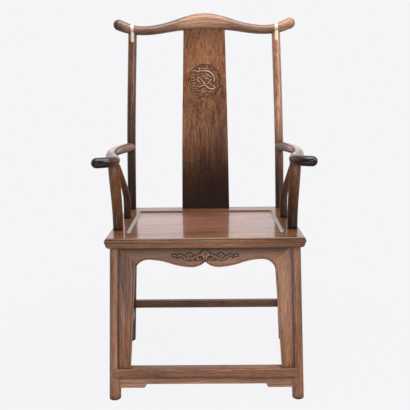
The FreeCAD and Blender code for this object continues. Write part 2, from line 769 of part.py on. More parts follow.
seat_tenon_low = s.seat_height - s.seat_tenon_length
seat_tenon = (seat_tenon_low, s.seat_height, s.seat_tenon_diameter, s.joint_fit, ZERO)
neck_tenon, neck_mortise = pin_pair("neck_seat", neck_foot, *seat_tenon)
side_tenon, side_mortise = pin_pair("side_post_seat", side_post_foot, *seat_tenon)
neck_arm_tenon, neck_arm_mortise = pin_pair(
    "neck_arm",
    neck_top,
    s.arm_front_height - s.arm_diameter,
    s.arm_front_height + s.arm_tenon_length / 2,
    s.arm_tenon_diameter,
    ZERO,
    s.joint_fit,
)
side_arm_tenon, side_arm_mortise = pin_pair(
    "side_post_arm",
    side_post_top,
    s.arm_rear_height - s.arm_diameter,
    s.arm_rear_height,
    s.arm_tenon_diameter,
    ZERO,
    s.joint_fit,
)

# Small brackets behind the goosenecks, sawn with a lobed edge

spandrel_top = s.arm_front_height
spandrel_high = spandrel_top - s.arm_end_diameter / 2
spandrel_low = spandrel_high - s.spandrel_height
spandrel_foot = s.spandrel_lean + s.neck_top_diameter / 2 + s.spandrel_tip
SPANDREL_CUSP_SHARES = ((0.16, 0.36), (0.52, 0.7))


def spandrel_edge(run_share, rise_share):
    """A place on the way from the bracket's lower end to its end under the arm."""
    across = between(spandrel_foot, s.spandrel_length, run_share)
    return across, between(spandrel_low, spandrel_high, rise_share)


spandrel_outline = [
    (ZERO, spandrel_top),
    (s.spandrel_lean, spandrel_low),
    (*spandrel_edge(0, 0), s.spandrel_lobe_radius, 1),
    (*spandrel_edge(*SPANDREL_CUSP_SHARES[0]), s.spandrel_lobe_radius, 1),
    (*spandrel_edge(*SPANDREL_CUSP_SHARES[1]), s.spandrel_cove_radius, -1),
    spandrel_edge(1, 1),
    (s.spandrel_length, spandrel_top),
]
spandrel_start = (neck_top[0], neck_top[1])
spandrel_place = "; ".join(size.formula for size in (*spandrel_start, ZERO))
spandrel_angle = (s.spandrel_turn + 90).formula
spandrel_blank = padded(
    "spandrel_blank",
    "XZ_Plane",
    spandrel_outline,
    s.spandrel_thickness,
    -s.spandrel_thickness / 2,
    f"placement(vector({spandrel_place}); rotation(vector(0; 0; 1); {spandrel_angle}))",
)

# Fitting the arms to each other: round shoulders are scribed, tenons go into cut mortises

arm_left = cut(
    "armrest_left", fused("arm_with_tenon", cut("arm_scribed", arm_blank, post_blank), arm_tenon),
    neck_arm_mortise, side_arm_mortise,
)
neck_left = fused(
    "gooseneck_left", cut("neck_scribed", neck_blank, arm_blank), neck_tenon, neck_arm_tenon
)
side_post_left = fused(
    "side_post_left", cut("side_post_scribed", side_post_blank, arm_blank), side_tenon, side_arm_tenon
)
spandrel_left = cut("arm_spandrel_left", spandrel_blank, arm_blank, neck_blank)

# Seat frame: one moulded ring, sawn through the mitres into four rails

opening_x = s.seat_width / 2 - s.side_rail_face - s.lip_width - s.ledge
opening_front = seat_front + s.end_rail_face + s.lip_width + s.ledge
opening_rear = seat_rear - s.end_rail_face - s.lip_width - s.ledge
frame_top = s.seat_height


def moulded(low, high):
    """The frame's section across its whole width, with the edge moulding at both ends."""
    belly = frame_top - s.moulding_belly_drop
    crease = frame_top - s.moulding_crease_drop
    return [
        (low + s.moulding_foot_inset, underside),
        (high - s.moulding_foot_inset, underside, s.moulding_lower_radius, 1),
        (high - s.moulding_crease_inset, crease, s.moulding_under_radius, 1),
        (high, belly, s.moulding_top_radius, 1),
        (high - s.moulding_top_inset, frame_top),
        (low + s.moulding_top_inset, frame_top, s.moulding_top_radius, 1),
        (low, belly, s.moulding_under_radius, 1),
        (low + s.moulding_crease_inset, crease, s.moulding_lower_radius, 1),
    ]


half_width = s.seat_width / 2
slab_across = padded(
    "slab_across", "XZ_Plane", moulded(-half_width, half_width), s.seat_depth, -seat_rear
)
slab_deep = padded(
    "slab_deep", "YZ_Plane", moulded(seat_front, seat_rear), s.seat_width, -half_width
)
panel_opening = block(
    "panel_opening",
    (-opening_x, opening_x),
    (opening_front, opening_rear),
    (underside - s.overrun, frame_top + s.overrun),
)
tongue_top = frame_top - s.panel_sink - s.tongue_drop
tongue_low = tongue_top - s.tongue_thickness
groove_reach = s.tongue_length + s.tongue_play
groove = block(
    "panel_groove",
    (-opening_x - groove_reach, opening_x + groove_reach),
    (opening_front - groove_reach, opening_rear + groove_reach),
    (tongue_low - s.joint_fit, tongue_top + s.joint_fit),
)


def lip_form():
    """The sunk well over the panel: a shallow tray shape with sloping, round-cornered sides."""
    wires = []
    for drop, widen in ((s.panel_sink, ZERO), (-s.panel_sink, s.lip_width * 2)):
        x = float(opening_x + s.ledge + widen)
        front, rear = float(opening_front - s.ledge - widen), float(opening_rear + s.ledge + widen)
        z, radius = float(frame_top - drop), float(s.lip_corner + widen)
        middle = Vector(0, (front + rear) / 2, z)
        plate = Part.makePlane(2 * x, rear - front, Vector(-x, front, z))
        corners = [(-x, front), (x, front), (x, rear), (-x, rear)]
        edges = []
        for index, (cx, cy) in enumerate(corners):
            inward_x = radius if cx < 0 else -radius
            inward_y = radius if cy < middle.y else -radius
            hub = Vector(cx + inward_x, cy + inward_y, z)
            first = math.pi + index * math.pi / 2
            rim = [
                hub + Vector(math.cos(first + turn), math.sin(first + turn), 0) * radius
                for turn in (0, math.pi / 4, math.pi / 2)
            ]
            edges.append((rim, Part.Arc(*rim).toShape()))
        wire_edges = []
        for index, (rim, arc) in enumerate(edges):
            wire_edges.append(arc)
            wire_edges.append(Part.makeLine(rim[2], edges[(index + 1) % 4][0][0]))
        wires.append(Part.Wire(wire_edges))
    return Part.makeLoft(wires, True, True)


lip = carved("lip_well", lip_form())
ring = cut("frame_ring", shared("frame_slab", slab_across, slab_deep), panel_opening, groove, lip)


def mitre_blank(name, outer, moulding, flat, inner):
    """The front or rear rail's share of the ring: its mitres follow moulding, flat and lip."""
    right = [
        (half_width, outer),
        (half_width - s.moulding_foot_inset, moulding),
        (half_width - s.side_rail_face, flat),
        (opening_x, inner),
    ]
    left = [(-x, y) for x, y in reversed(right)]
    return padded(name, "XY_Plane", right + left, s.frame_thickness, underside)


front_mitre = mitre_blank(
    "front_mitre",
    seat_front,
    seat_front + s.moulding_foot_inset,
    seat_front + s.end_rail_face,
    opening_front,
)
rear_mitre = mitre_blank(
    "rear_mitre",
    seat_rear,
    seat_rear - s.moulding_foot_inset,
    seat_rear - s.end_rail_face,
    opening_rear,
)
tenon_end = half_width - s.rail_tenon_cover
tenon_root = opening_x + s.ledge
tenon_top = frame_top - s.rail_tenon_drop
tenon_low = tenon_top - s.rail_tenon_thickness
front_tenon_y = (opening_front - s.rail_tenon_gap - s.rail_tenon_width, opening_front - s.rail_tenon_gap)
rear_tenon_y = (opening_rear + s.rail_tenon_gap, opening_rear + s.rail_tenon_gap + s.rail_tenon_width)


def corner_tenon(name, deep):
    """A tenon on the left end of a long rail, and the mortise tool for the side rail."""
    fit = s.joint_fit
    tenon = block(name + "_tenon", (-tenon_end, -tenon_root), deep, (tenon_low, tenon_top))
    tool = block(
        name + "_mortise",
        (-tenon_end - fit, -tenon_root),
        (deep[0] - fit, deep[1] + fit),
        (tenon_low - fit, tenon_top + fit),
    )
    return tenon, tool


front_corner, front_corner_mortise = corner_tenon("front_corner", front_tenon_y)
rear_corner, rear_corner_mortise = corner_tenon("rear_corner", rear_tenon_y)

# Battens: dovetailed across the panel's underside, with their ends in the front and rear rails

panel_top = frame_top - s.panel_sink
panel_low = panel_top - s.panel_thickness
batten_x = -s.batten_spread / 2
batten_low = panel_low - s.batten_depth
batten_ends = (opening_front - s.batten_tenon, opening_rear + s.batten_tenon)


def batten_section(grow):
    """Section of the left batten: a plain foot below the panel, a dovetail in it."""
    neck, flare = s.batten_width / 2 + grow, s.batten_width / 2 + s.dovetail_flare / 2 + grow
    top = panel_low + s.dovetail_depth + grow
    return [
        (batten_x - neck, batten_low - grow),
        (batten_x + neck, batten_low - grow),
        (batten_x + neck, panel_low),
        (batten_x + flare, top),
        (batten_x - flare, top),
        (batten_x - neck, panel_low),
    ]


batten_long = batten_ends[1] - batten_ends[0]
seat_batten_left = padded(
    "seat_batten_left", "XZ_Plane", batten_section(ZERO), batten_long, -batten_ends[1]
)
batten_room = padded(
    "batten_room", "XZ_Plane", batten_section(s.joint_fit), batten_long + s.joint_fit * 2,
    -batten_ends[1] - s.joint_fit,
)
seat_batten_right = mirrored("seat_batten_right", seat_batten_left)
batten_room_right = mirrored("batten_room_right", batten_room)

rail_front = cut(
    "seat_rail_front",
    fused(
        "front_rail_with_tenons",
        shared("front_rail_blank", ring, front_mitre),
        front_corner,
        mirrored("front_corner_right", front_corner),
    ),
    front_mortise,
    mirrored("front_mortise_right", front_mortise),
    batten_room,
    batten_room_right,
)
rail_rear = cut(
    "seat_rail_rear",
    fused(
        "rear_rail_with_tenons",
        shared("rear_rail_blank", ring, rear_mitre),
        rear_corner,
        mirrored("rear_corner_right", rear_corner),
    ),
    post_passage,
    post_passage_right,
    batten_room,
    batten_room_right,
    splat,
)
left_side = block(
    "left_side",
    (-half_width, -opening_x),
    (seat_front, seat_rear),
    (underside, frame_top),
)
rail_left = cut(
    "seat_rail_left",
    shared("left_rail_blank", ring, left_side),
    front_mitre,
    rear_mitre,
    front_corner_mortise,
    rear_corner_mortise,
    front_mortise,
    post_passage,
    neck_mortise,
    side_mortise,
)

plate = padded(
    "panel_plate",
    "XY_Plane",
    [
        (-opening_x + s.joint_fit, opening_front + s.joint_fit),
        (opening_x - s.joint_fit, opening_front + s.joint_fit),
        (opening_x - s.joint_fit, opening_rear - s.joint_fit),
        (-opening_x + s.joint_fit, opening_rear - s.joint_fit),
    ],
    s.panel_thickness,
    panel_low,
)
tongue = block(
    "panel_tongue",
    (-opening_x - s.tongue_length, opening_x + s.tongue_length),
    (opening_front - s.tongue_length, opening_rear + s.tongue_length),
    (tongue_low, tongue_top),
)
seat_panel = cut("seat_panel", fused("panel_blank", plate, tongue), batten_room, batten_room_right)

# Stretchers and footrest: tenoned into the legs, with shoulders scribed to the round


def stretcher(name, start, end, corners, core, legs):
    """A rail between two legs. Its core runs on into both of them as a tenon."""
    rail = cut(name + "_scribed", beam(name + "_blank", start, end, corners), *legs)
    low, high = core
    tenon = [(low[0], low[1]), (high[0], low[1]), (high[0], high[1]), (low[0], high[1])]
    fit = s.joint_fit
    room = [
        (low[0] - fit, low[1] - fit), (high[0] + fit, low[1] - fit),
        (high[0] + fit, high[1] + fit), (low[0] - fit, high[1] + fit),
    ]
    whole = fused(name, rail, beam(name + "_core", start, end, tenon))
    return whole, beam(name + "_mortise", start, end, room)


def centred(width, height, edge):
    """A rounded section about the middle line, and the core left for its tenons."""
    corners = rounded((-width / 2, -height / 2), (width / 2, height / 2), edge)
    half_core = (s.stretcher_tenon_width / 2, height / 2 - s.stretcher_tenon_margin)
    return corners, ((-half_core[0], -half_core[1]), half_core)


side_z = s.side_stretcher_top - s.side_stretcher_height / 2
side_corners, side_core = centred(s.side_stretcher_width, s.side_stretcher_height, s.stretcher_edge)
side_stretcher_left, side_stretcher_room = stretcher(
    "side_stretcher_left", (*front_leg_at(side_z), side_z), (*rear_leg_at(side_z), side_z),
    side_corners, side_core, (front_rod, rear_rod),
)

rear_z = s.rear_stretcher_top - s.rear_stretcher_height / 2
rear_x, rear_y = rear_leg_at(rear_z)
rear_corners, rear_core = centred(s.rear_stretcher_width, s.rear_stretcher_height, s.stretcher_edge)
rear_stretcher, rear_stretcher_room = stretcher(
    "rear_stretcher", (rear_x, rear_y, rear_z), (-rear_x, rear_y, rear_z),
    rear_corners, rear_core, (rear_rod, rear_rod_right),
)

footrest_z = s.footrest_top - s.footrest_height / 2
footrest_x, footrest_y = front_leg_at(footrest_z)
footrest_face = -s.leg_diameter / 2 - s.footrest_proud
footrest_corners = rounded(
    (footrest_face, -s.footrest_height / 2),
    (footrest_face + s.footrest_depth, s.footrest_height / 2),
    s.footrest_edge,
)
footrest_core = centred(s.footrest_depth, s.footrest_height, s.footrest_edge)[1]
footrest_whole, footrest_room = stretcher(
    "footrest_whole", (footrest_x, footrest_y, footrest_z), (-footrest_x, footrest_y, footrest_z),
    footrest_corners, footrest_core, (front_rod, front_rod_right),
)

foot_apron_top = s.footrest_top - s.footrest_height
foot_apron_mid = foot_apron_top - s.foot_apron_height
foot_apron_low = foot_apron_mid - s.foot_apron_drop
foot_apron_x, foot_apron_y = front_leg_at(foot_apron_mid)
foot_apron_reach = -foot_apron_x - s.leg_diameter / 2 + s.housing_depth
waist = s.foot_apron_waist / 2
step = s.foot_apron_step_run
half_step = (waist + step / 2, foot_apron_mid - s.foot_apron_drop / 2)
radius = s.foot_apron_step_radius
foot_apron_outline = [
    (-foot_apron_reach, foot_apron_top),
    (-foot_apron_reach, foot_apron_low),
    (-waist - step, foot_apron_low, radius, 1),
    (-half_step[0], half_step[1], radius, -1),
    (-waist, foot_apron_mid),
    (waist, foot_apron_mid, radius, -1),
    (half_step[0], half_step[1], radius, 1),
    (waist + step, foot_apron_low),
    (foot_apron_reach, foot_apron_low),
    (foot_apron_reach, foot_apron_top),
]
foot_apron_back = s.leg_diameter / 2 - s.foot_apron_setback - s.foot_apron_thickness - foot_apron_y
footrest_apron = padded(
    "footrest_apron", "XZ_Plane", foot_apron_outline, s.foot_apron_thickness, foot_apron_back
)

# Arches under the seat: an apron mitred to two stiles, all housed in grooves in the legs


KNEE_RUN_SHARE = 0.5
KNEE_DROP_SHARE = 0.47


def arch_outline(height, top_half, bottom_half, bottom, middle, lobe, drop, cusp):
    """The open space under an apron, with round shoulders, two lobes and a cusp between them."""
    shoulder = height - s.arch_shoulder
    corner = top_half - s.arch_corner_run
    knee = between(lobe, corner, KNEE_RUN_SHARE)
    knee_z = height - drop * KNEE_DROP_SHARE
    right = [
        (bottom_half, bottom - s.overrun),
        (bottom_half, bottom),
        (top_half, shoulder, s.arch_corner_radius, 1),
        (corner, height, s.arch_wave_radius, 1),
        (knee, knee_z, s.arch_return_radius, -1),
        (lobe, height - drop, s.arch_cusp_radius, -1),
    ]
    tops = [(x, z) for x, z, *bend in right]
    bends = [bend for x, z, *bend in right]
    outline = [(middle + x, z, *bend) for (x, z), bend in zip(tops, bends)]
    outline.append((middle, height - cusp, *bends[-1]))
    for index in range(len(right) - 1, -1, -1):
        x, z = tops[index]
        bend = bends[index - 1] if index else []
        outline.append((middle - x, z, *bend))
    return outline


front_lean = slope(front_top[1] - front_foot[1], underside)
front_place = "; ".join(size.formula for size in (ZERO, front_foot[1], ZERO))
front_plane = f"placement(vector({front_place}); rotation(vector(1; 0; 0); {(-front_lean).formula}))"
front_board_back = s.leg_diameter / 2 - s.board_setback - s.board_thickness
front_open = padded(
    "front_open", "XZ_Plane",
    arch_outline(
        s.arch_height, -front_top[0] - s.stile_shoulder, -front_foot[0] - s.stile_end,
        s.footrest_top, ZERO, s.arch_lobe_spread / 2, s.arch_lobe_drop, s.arch_cusp_drop,
    ),
    s.board_thickness * 3, front_board_back - s.board_thickness, front_plane,
)
seam = s.leg_diameter / 2 - s.housing_depth
board_top = underside + s.overrun
front_mitre_out = -front_top[0] - seam - s.mitre_margin
front_mitre_in = front_mitre_out - s.mitre_run


def mitre_line(middle, side, inner, outer, rise):
    """The saw line between apron and stile: from inside the opening to above the boards."""
    return [
        (middle + inner * side, underside - rise),
        (middle + outer * side, underside),
        (middle + outer * side, board_top),
    ]


apron_blank = padded(
    "front_apron_blank",
    "XZ_Plane",
    [
        (-front_mitre_in, s.arch_height - s.arch_lobe_drop * 2),
        (front_mitre_in, s.arch_height - s.arch_lobe_drop * 2),
        *mitre_line(ZERO, 1, front_mitre_in, front_mitre_out, s.mitre_rise),
        *reversed(mitre_line(ZERO, -1, front_mitre_in, front_mitre_out, s.mitre_rise)),
    ],
    s.board_thickness,
    front_board_back,
    front_plane,
)
stile_foot = s.footrest_top - s.overrun
stile_blank = padded(
    "front_stile_blank",
    "XZ_Plane",
    [
        (front_leg_at(s.footrest_top)[0] + seam, stile_foot),
        (-front_mitre_in, stile_foot),
        *mitre_line(ZERO, -1, front_mitre_in, front_mitre_out, s.mitre_rise),
        (front_leg_at(board_top)[0] + seam, board_top),
    ],
    s.board_thickness,
    front_board_back,
    front_plane,
)
above_footrest = block(
    "above_footrest",
    (-s.seat_width, s.seat_width),
    (-s.overall_depth, s.overall_depth),
    (s.footrest_top, underside),
)
front_apron = cut("front_apron", shared("front_apron_sawn", apron_blank, under_seat), front_open)
stile_sawn = shared("front_stile_sawn", stile_blank, above_footrest)
front_stile_left = cut("front_stile_left", stile_sawn, front_open)

# Side arches, in the leaning plane of the front and rear legs

side_foot_x = (front_foot[0] + rear_foot[0]) / 2
side_top_x = (front_top[0] + rear_top[0]) / 2
side_lean = slope(side_top_x - side_foot_x, underside)
side_place = "; ".join(size.formula for size in (side_foot_x, ZERO, ZERO))
side_plane = f"placement(vector({side_place}); rotation(vector(0; 1; 0); {side_lean.formula}))"
side_back = s.side_board_inset - s.board_thickness / 2
side_middle = (front_top[1] + rear_top[1]) / 2
side_half = (rear_top[1] - front_top[1]) / 2
side_open = padded(
    "side_open", "YZ_Plane",
    arch_outline(
        s.side_arch_height, side_half - s.side_stile_shoulder, side_half - s.side_stile_end,
        s.side_stretcher_top, side_middle, s.side_arch_lobe_spread / 2, s.side_arch_drop,
        s.side_arch_cusp_drop,
    ),
    s.board_thickness * 3, side_back - s.board_thickness, side_plane,
)
side_mitre_out = side_half - seam - s.mitre_margin
side_mitre_in = side_mitre_out - s.side_mitre_run
side_mitre = (side_mitre_in, side_mitre_out, s.side_mitre_rise)
side_reach_front = (front_leg_at(board_top)[1] + seam, front_leg_at(s.side_stretcher_top)[1] + seam)
side_reach_rear = (rear_leg_at(board_top)[1] - seam, rear_leg_at(s.side_stretcher_top)[1] - seam)
side_apron_blank = padded(
    "side_apron_blank",
    "YZ_Plane",
    [
        (side_middle - side_mitre_in, s.side_arch_height - s.side_arch_drop * 2),
        (side_middle + side_mitre_in, s.side_arch_height - s.side_arch_drop * 2),
        *mitre_line(side_middle, 1, *side_mitre),
        *reversed(mitre_line(side_middle, -1, *side_mitre)),
    ],
    s.board_thickness,
    side_back,
    side_plane,
)


def side_stile(name, side, reach):
    """A stile at the front (side -1) or rear (side 1) of the left side arch."""
    foot = s.side_stretcher_top - s.overrun
    outline = [
        (reach[1], foot),
        (side_middle + side_mitre_in * side, foot),
        *mitre_line(side_middle, side, *side_mitre),
        (reach[0], board_top),
    ]
    blank = padded(name + "_blank", "YZ_Plane", outline, s.board_thickness, side_back, side_plane)
    return cut(name, shared(name + "_sawn", blank, above_side), side_open)


above_side = block(
    "above_side",
    (-s.seat_width, s.seat_width),
    (-s.overall_depth, s.overall_depth),
    (s.side_stretcher_top, underside),
)
side_apron_sawn = shared("side_apron_sawn", side_apron_blank, under_seat)
side_apron_left = cut("side_apron_left", side_apron_sawn, side_open)
side_stile_front = side_stile("side_stile_left_front", -1, side_reach_front)
side_stile_rear = side_stile("side_stile_left_rear", 1, side_reach_rear)

# Rear apron: a plain board with short rounded drops beside the legs

rear_low = underside - s.rear_apron_height
rear_drop_low = underside - s.rear_apron_drop
rear_edge_top = -rear_top[0] - seam
rear_edge = -rear_leg_at(rear_drop_low)[0] - seam
rear_inner = rear_edge - s.rear_apron_end_width
rear_apron = padded(
    "rear_apron", "XZ_Plane",
    [
        (-rear_edge_top, underside),
        (-rear_edge, rear_drop_low),
        (-rear_inner, rear_drop_low),
        (-rear_inner, rear_low - s.rear_apron_round, s.rear_apron_round, -1),
        (-rear_inner + s.rear_apron_round, rear_low),
        (rear_inner - s.rear_apron_round, rear_low, s.rear_apron_round, -1),
        (rear_inner, rear_low - s.rear_apron_round),
        (rear_inner, rear_drop_low),
        (rear_edge, rear_drop_low),
        (rear_edge_top, underside),
    ],
    s.board_thickness,
    -rear_top[1] - s.leg_diameter / 2 + s.rear_board_setback,
)

# Metal straps over the joints of crest rail and posts, and their nails

strap_low = post_top - s.strap_length
strap_x = (post_top_x - s.strap_width / 2, post_top_x + s.strap_width / 2)
strap_deep = (crest_front - s.headrest_depth, crest_front + s.headrest_depth)
strap_slab = fused(
    "strap_slab",
    block("strap_band", strap_x, strap_deep, (strap_low + s.strap_width / 2, s.overall_height)),
    stick(
        "strap_end",
        (post_top_x, strap_deep[0], strap_low + s.strap_width / 2),
        (post_top_x, strap_deep[1], strap_low + s.strap_width / 2),
        s.strap_width,
    ),
)
crest_grown = carved("crest_grown", crest_form(float(s.strap_thickness)))
post_grown = carved("post_grown", post_form(float(s.strap_thickness)))
strap_skin = fused("strap_skin", crest_grown, post_grown)
strap_blank = cut("strap_blank", shared("strap_wrapped", strap_skin, strap_slab), crest_blank, post_blank)


def nail(skin, middle, outward):
    """A small nail through the strap: a shank, and a domed head that sits on the strap."""
    ray = Part.makeLine(middle, middle + outward * float(s.overall_depth))
    seat = middle + outward * skin.common(ray).Length
    shank = Part.makeCylinder(float(s.nail_shank) / 2, float(s.nail_length), seat, -outward)
    return shank.fuse(dome(seat, outward, float(s.nail_head)))


def nail_places():
    """Two nails in front and two behind, in the rail and near the strap's lower end."""
    low_z = float(strap_low + s.nail_margin)
    rise = (low_z - float(s.seat_height)) / float(post_top - s.seat_height)
    low, high = post_at(rise), triple((post_top_x, crest_front, post_top))
    sides = (Vector(0, -1, 0), Vector(0, 1, 0))
    lower = [nail(post_grown.Shape, low, side) for side in sides]
    return lower + [nail(crest_grown.Shape, high, side) for side in sides]


left_nails = nail_places()
nails_left = carved("nails_left", Part.makeCompound(left_nails))
nails_right = mirrored("nails_right", nails_left)
document.recompute()
strap_nails = carved("strap_nails", Part.makeCompound(nails_left.Shape.Solids + nails_right.Shape.Solids))
strap_left = cut("crest_strap_left", strap_blank, nails_left)

# Last cuts: every mortise goes into the piece that holds it

crest_rail = cut(
    "crest_rail", crest_blank, crest_mortise, crest_mortise_right, splat, nails_left, nails_right
)
rear_leg_left = cut(
    "rear_leg_left",
    fused(
        "rear_leg_whole",
        rear_leg_blank,
        post_passage,
        cut("post_scribed", post_blank, crest_blank),
        crest_tenon,
    ),
    arm_mortise, side_stretcher_room, rear_stretcher_room, side_apron_left, side_stile_rear,
    rear_apron, nails_left,
)
front_leg_left = cut(
    "front_leg_left",
    fused("front_leg_whole", front_leg_blank, front_tenon),
    side_stretcher_room, footrest_room, front_apron, front_stile_left, side_apron_left,
    side_stile_front, footrest_apron,
)
footrest = footrest_whole

PIECES = {
    "crest_rail": crest_rail,
    "splat": splat,
    "rear_leg_left": rear_leg_left,
    "rear_leg_right": mirrored("rear_leg_right", rear_leg_left),
    "front_leg_left": front_leg_left,
    "front_leg_right": mirrored("front_leg_right", front_leg_left),
    "armrest_left": arm_left,
    "armrest_right": mirrored("armrest_right", arm_left),
    "gooseneck_left": neck_left,
    "gooseneck_right": mirrored("gooseneck_right", neck_left),
    "side_post_left": side_post_left,
    "side_post_right": mirrored("side_post_right", side_post_left),
    "arm_spandrel_left": spandrel_left,
    "arm_spandrel_right": mirrored("arm_spandrel_right", spandrel_left),
    "seat_rail_front": rail_front,
    "seat_rail_rear": rail_rear,
    "seat_rail_left": rail_left,
    "seat_rail_right": mirrored("seat_rail_right", rail_left),
    "seat_panel": seat_panel,
    "seat_batten_left": seat_batten_left,
    "seat_batten_right": seat_batten_right,
    "front_apron": front_apron,
    "front_stile_left": front_stile_left,
    "front_stile_right": mirrored("front_stile_right", front_stile_left),
    "side_apron_left": side_apron_left,
    "side_apron_right": mirrored("side_apron_right", side_apron_left),
    "side_stile_left_front": side_stile_front,
    "side_stile_left_rear": side_stile_rear,
    "side_stile_right_front": mirrored("side_stile_right_front", side_stile_front),
    "side_stile_right_rear": mirrored("side_stile_right_rear", side_stile_rear),
    "rear_apron": rear_apron,
    "footrest": footrest,
    "footrest_apron": footrest_apron,
    "side_stretcher_left": side_stretcher_left,
    "side_stretcher_right": mirrored("side_stretcher_right", side_stretcher_left),
    "rear_stretcher": rear_stretcher,
    "crest_strap_left": strap_left,
    "crest_strap_right": mirrored("crest_strap_right", strap_left),
    "strap_nails": strap_nails,
}
document.recompute()

for item in document.Objects:
    if "Invalid" in item.State or "Error" in item.State:
        raise RuntimeError(f"{item.Name} did not build: {item.State}")

os.makedirs("parts", exist_ok=True)
for name, piece in PIECES.items():
    piece.Label = name
    if piece.Shape.isNull() or not piece.Shape.isValid() or not piece.Shape.Solids:
        raise RuntimeError(f"{name} has no sound shape")
    piece.Shape.exportStep(f"parts/{name}.step")
    print(f"{name}: {len(piece.Shape.Solids)} solid(s), {piece.Shape.Volume / 1000:.1f} cm3")
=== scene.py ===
import math

import bmesh
import bpy
import numpy as np
from mathutils import Matrix, Vector
from mathutils.bvhtree import BVHTree


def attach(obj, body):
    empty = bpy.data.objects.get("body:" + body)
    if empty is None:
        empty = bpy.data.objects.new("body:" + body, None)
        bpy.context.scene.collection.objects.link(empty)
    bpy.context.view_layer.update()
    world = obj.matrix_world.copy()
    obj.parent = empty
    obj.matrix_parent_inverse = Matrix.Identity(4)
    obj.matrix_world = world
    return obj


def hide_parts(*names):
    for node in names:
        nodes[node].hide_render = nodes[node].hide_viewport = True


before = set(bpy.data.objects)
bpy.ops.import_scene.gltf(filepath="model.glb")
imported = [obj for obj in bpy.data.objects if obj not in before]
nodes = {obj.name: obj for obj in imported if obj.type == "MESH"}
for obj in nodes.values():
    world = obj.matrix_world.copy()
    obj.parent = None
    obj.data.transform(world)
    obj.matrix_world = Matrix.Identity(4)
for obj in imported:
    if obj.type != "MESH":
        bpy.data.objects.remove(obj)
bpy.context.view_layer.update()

# Legs and posts
# Four round sticks of solid rosewood, planed and scraped by hand, rubbed with wax. The rear ones
# go through the seat frame and stand on as the posts of the back. Their grain runs upright.


def shade(hex_value):
    """A colour written as sRGB, turned to the linear numbers that the shaders take."""
    parts = [int(hex_value[i : i + 2], 16) / 255 for i in (1, 3, 5)]
    return [p / 12.92 if p <= 0.04045 else ((p + 0.055) / 1.055) ** 2.4 for p in parts] + [1.0]


def put(tree, kind, inputs=None, **settings):
    """A node with its settings. An input is a number, a colour, or the output that feeds it."""
    made = tree.nodes.new(kind)
    for key, value in settings.items():
        setattr(made, key, value)
    for key, value in (inputs or {}).items():
        if isinstance(value, bpy.types.NodeSocket):
            tree.links.new(value, made.inputs[key])
        else:
            made.inputs[key].default_value = value
    return made


def stops(ramp, shades):
    """Sets a colour ramp: places from 0 to 1, each with its colour."""
    band = ramp.color_ramp.elements
    while len(band) < len(shades):
        band.new(0.5)
    for mark, (place, colour) in zip(band, shades):
        mark.position = place
        mark.color = shade(colour)
    return ramp.outputs["Color"]


GRAIN_TURNS = {"Z": (0, 0, 0), "X": (0, math.pi / 2, 0), "Y": (-math.pi / 2, 0, 0)}
# From the dark of a vein to the pale wood between two
ROSEWOOD_SHADES = [
    (0.20, "#331910"),
    (0.38, "#6c432e"),
    (0.50, "#8f6147"),
    (0.62, "#a67658"),
    (0.82, "#c69a79"),
]
# The dark tone of stains and of painted shade
STAIN_AND_SHADE_TONE = "#1a0705"
STAIN_AND_SHADE_JITTER = 0.12
# The wave texture has a ring each 314 mm at scale 1
RING_AT_SCALE_ONE = 314.0
# Dark of carved ground, also painted shadow in grooves and creases; pale of rubbed ridges, also
# painted highlight on beads
GROUND_DIRT_AND_SHADOW = "#22100a"
RIDGE_WEAR_AND_HIGHLIGHT = "#cb9a7a"
OLD_WAX_AND_SHADE = "#180b07"


def streaky(tree, log, share, scale, detail, rough):
    """Noise squeezed along the grain, so that it comes out as long thin streaks."""
    squeezed = put(
        tree, "ShaderNodeMapping", {"Vector": log, "Scale": (1, 1, share)}
    ).outputs["Vector"]
    return put(
        tree, "ShaderNodeTexNoise",
        {"Vector": squeezed, "Scale": scale, "Detail": detail, "Roughness": rough},
    )


def darkness_along(tree, spot, clouds, stain_and_shade):
    """How dark the wood is along an axis, as a stain and as painted shade. Its own clouds break up
    the edge of the darkening.
    """
    axis, *marks = stain_and_shade
    start, end = marks[0][0], marks[-1][0]
    along = put(tree, "ShaderNodeSeparateXYZ", {"Vector": spot}).outputs[axis]
    place = put(
        tree, "ShaderNodeMapRange",
        {
            "Value": along, "From Min": start, "From Max": end,
            "To Min": -STAIN_AND_SHADE_JITTER / 2, "To Max": 1 - STAIN_AND_SHADE_JITTER / 2,
        },
    ).outputs["Result"]
    place = put(
        tree, "ShaderNodeMath", {0: clouds, 1: STAIN_AND_SHADE_JITTER, 2: place}, operation="MULTIPLY_ADD"
    ).outputs["Value"]
    greys = [
        ((at - start) / (end - start), "#" + format(round(dark * 255), "02x") * 3)
        for at, dark in marks
    ]
    return stops(put(tree, "ShaderNodeValToRGB", {"Fac": place}), greys)


def carving_tints(tree, ground_share):
    """Dirt in the ground and rubbed ridges of a carving, from the attribute wear_and_painted_light,
    where 0.5 is plain wood. On beads and in creases the same tones paint a highlight and a shadow.
    """
    depth = put(tree, "ShaderNodeAttribute", attribute_name="wear_and_painted_light").outputs["Fac"]
    tints = []
    for low, high, at_low, at_high, tone in (
        (0.0, 0.5, ground_share, 0.0, GROUND_DIRT_AND_SHADOW),
        (0.5, 1.0, 0.0, 0.65, RIDGE_WEAR_AND_HIGHLIGHT),
    ):
        share = put(
            tree, "ShaderNodeMapRange",
            {
                "Value": depth, "From Min": low, "From Max": high,
                "To Min": at_low, "To Max": at_high,
            },
        ).outputs["Result"]
        tints.append((share, tone))
    return tints


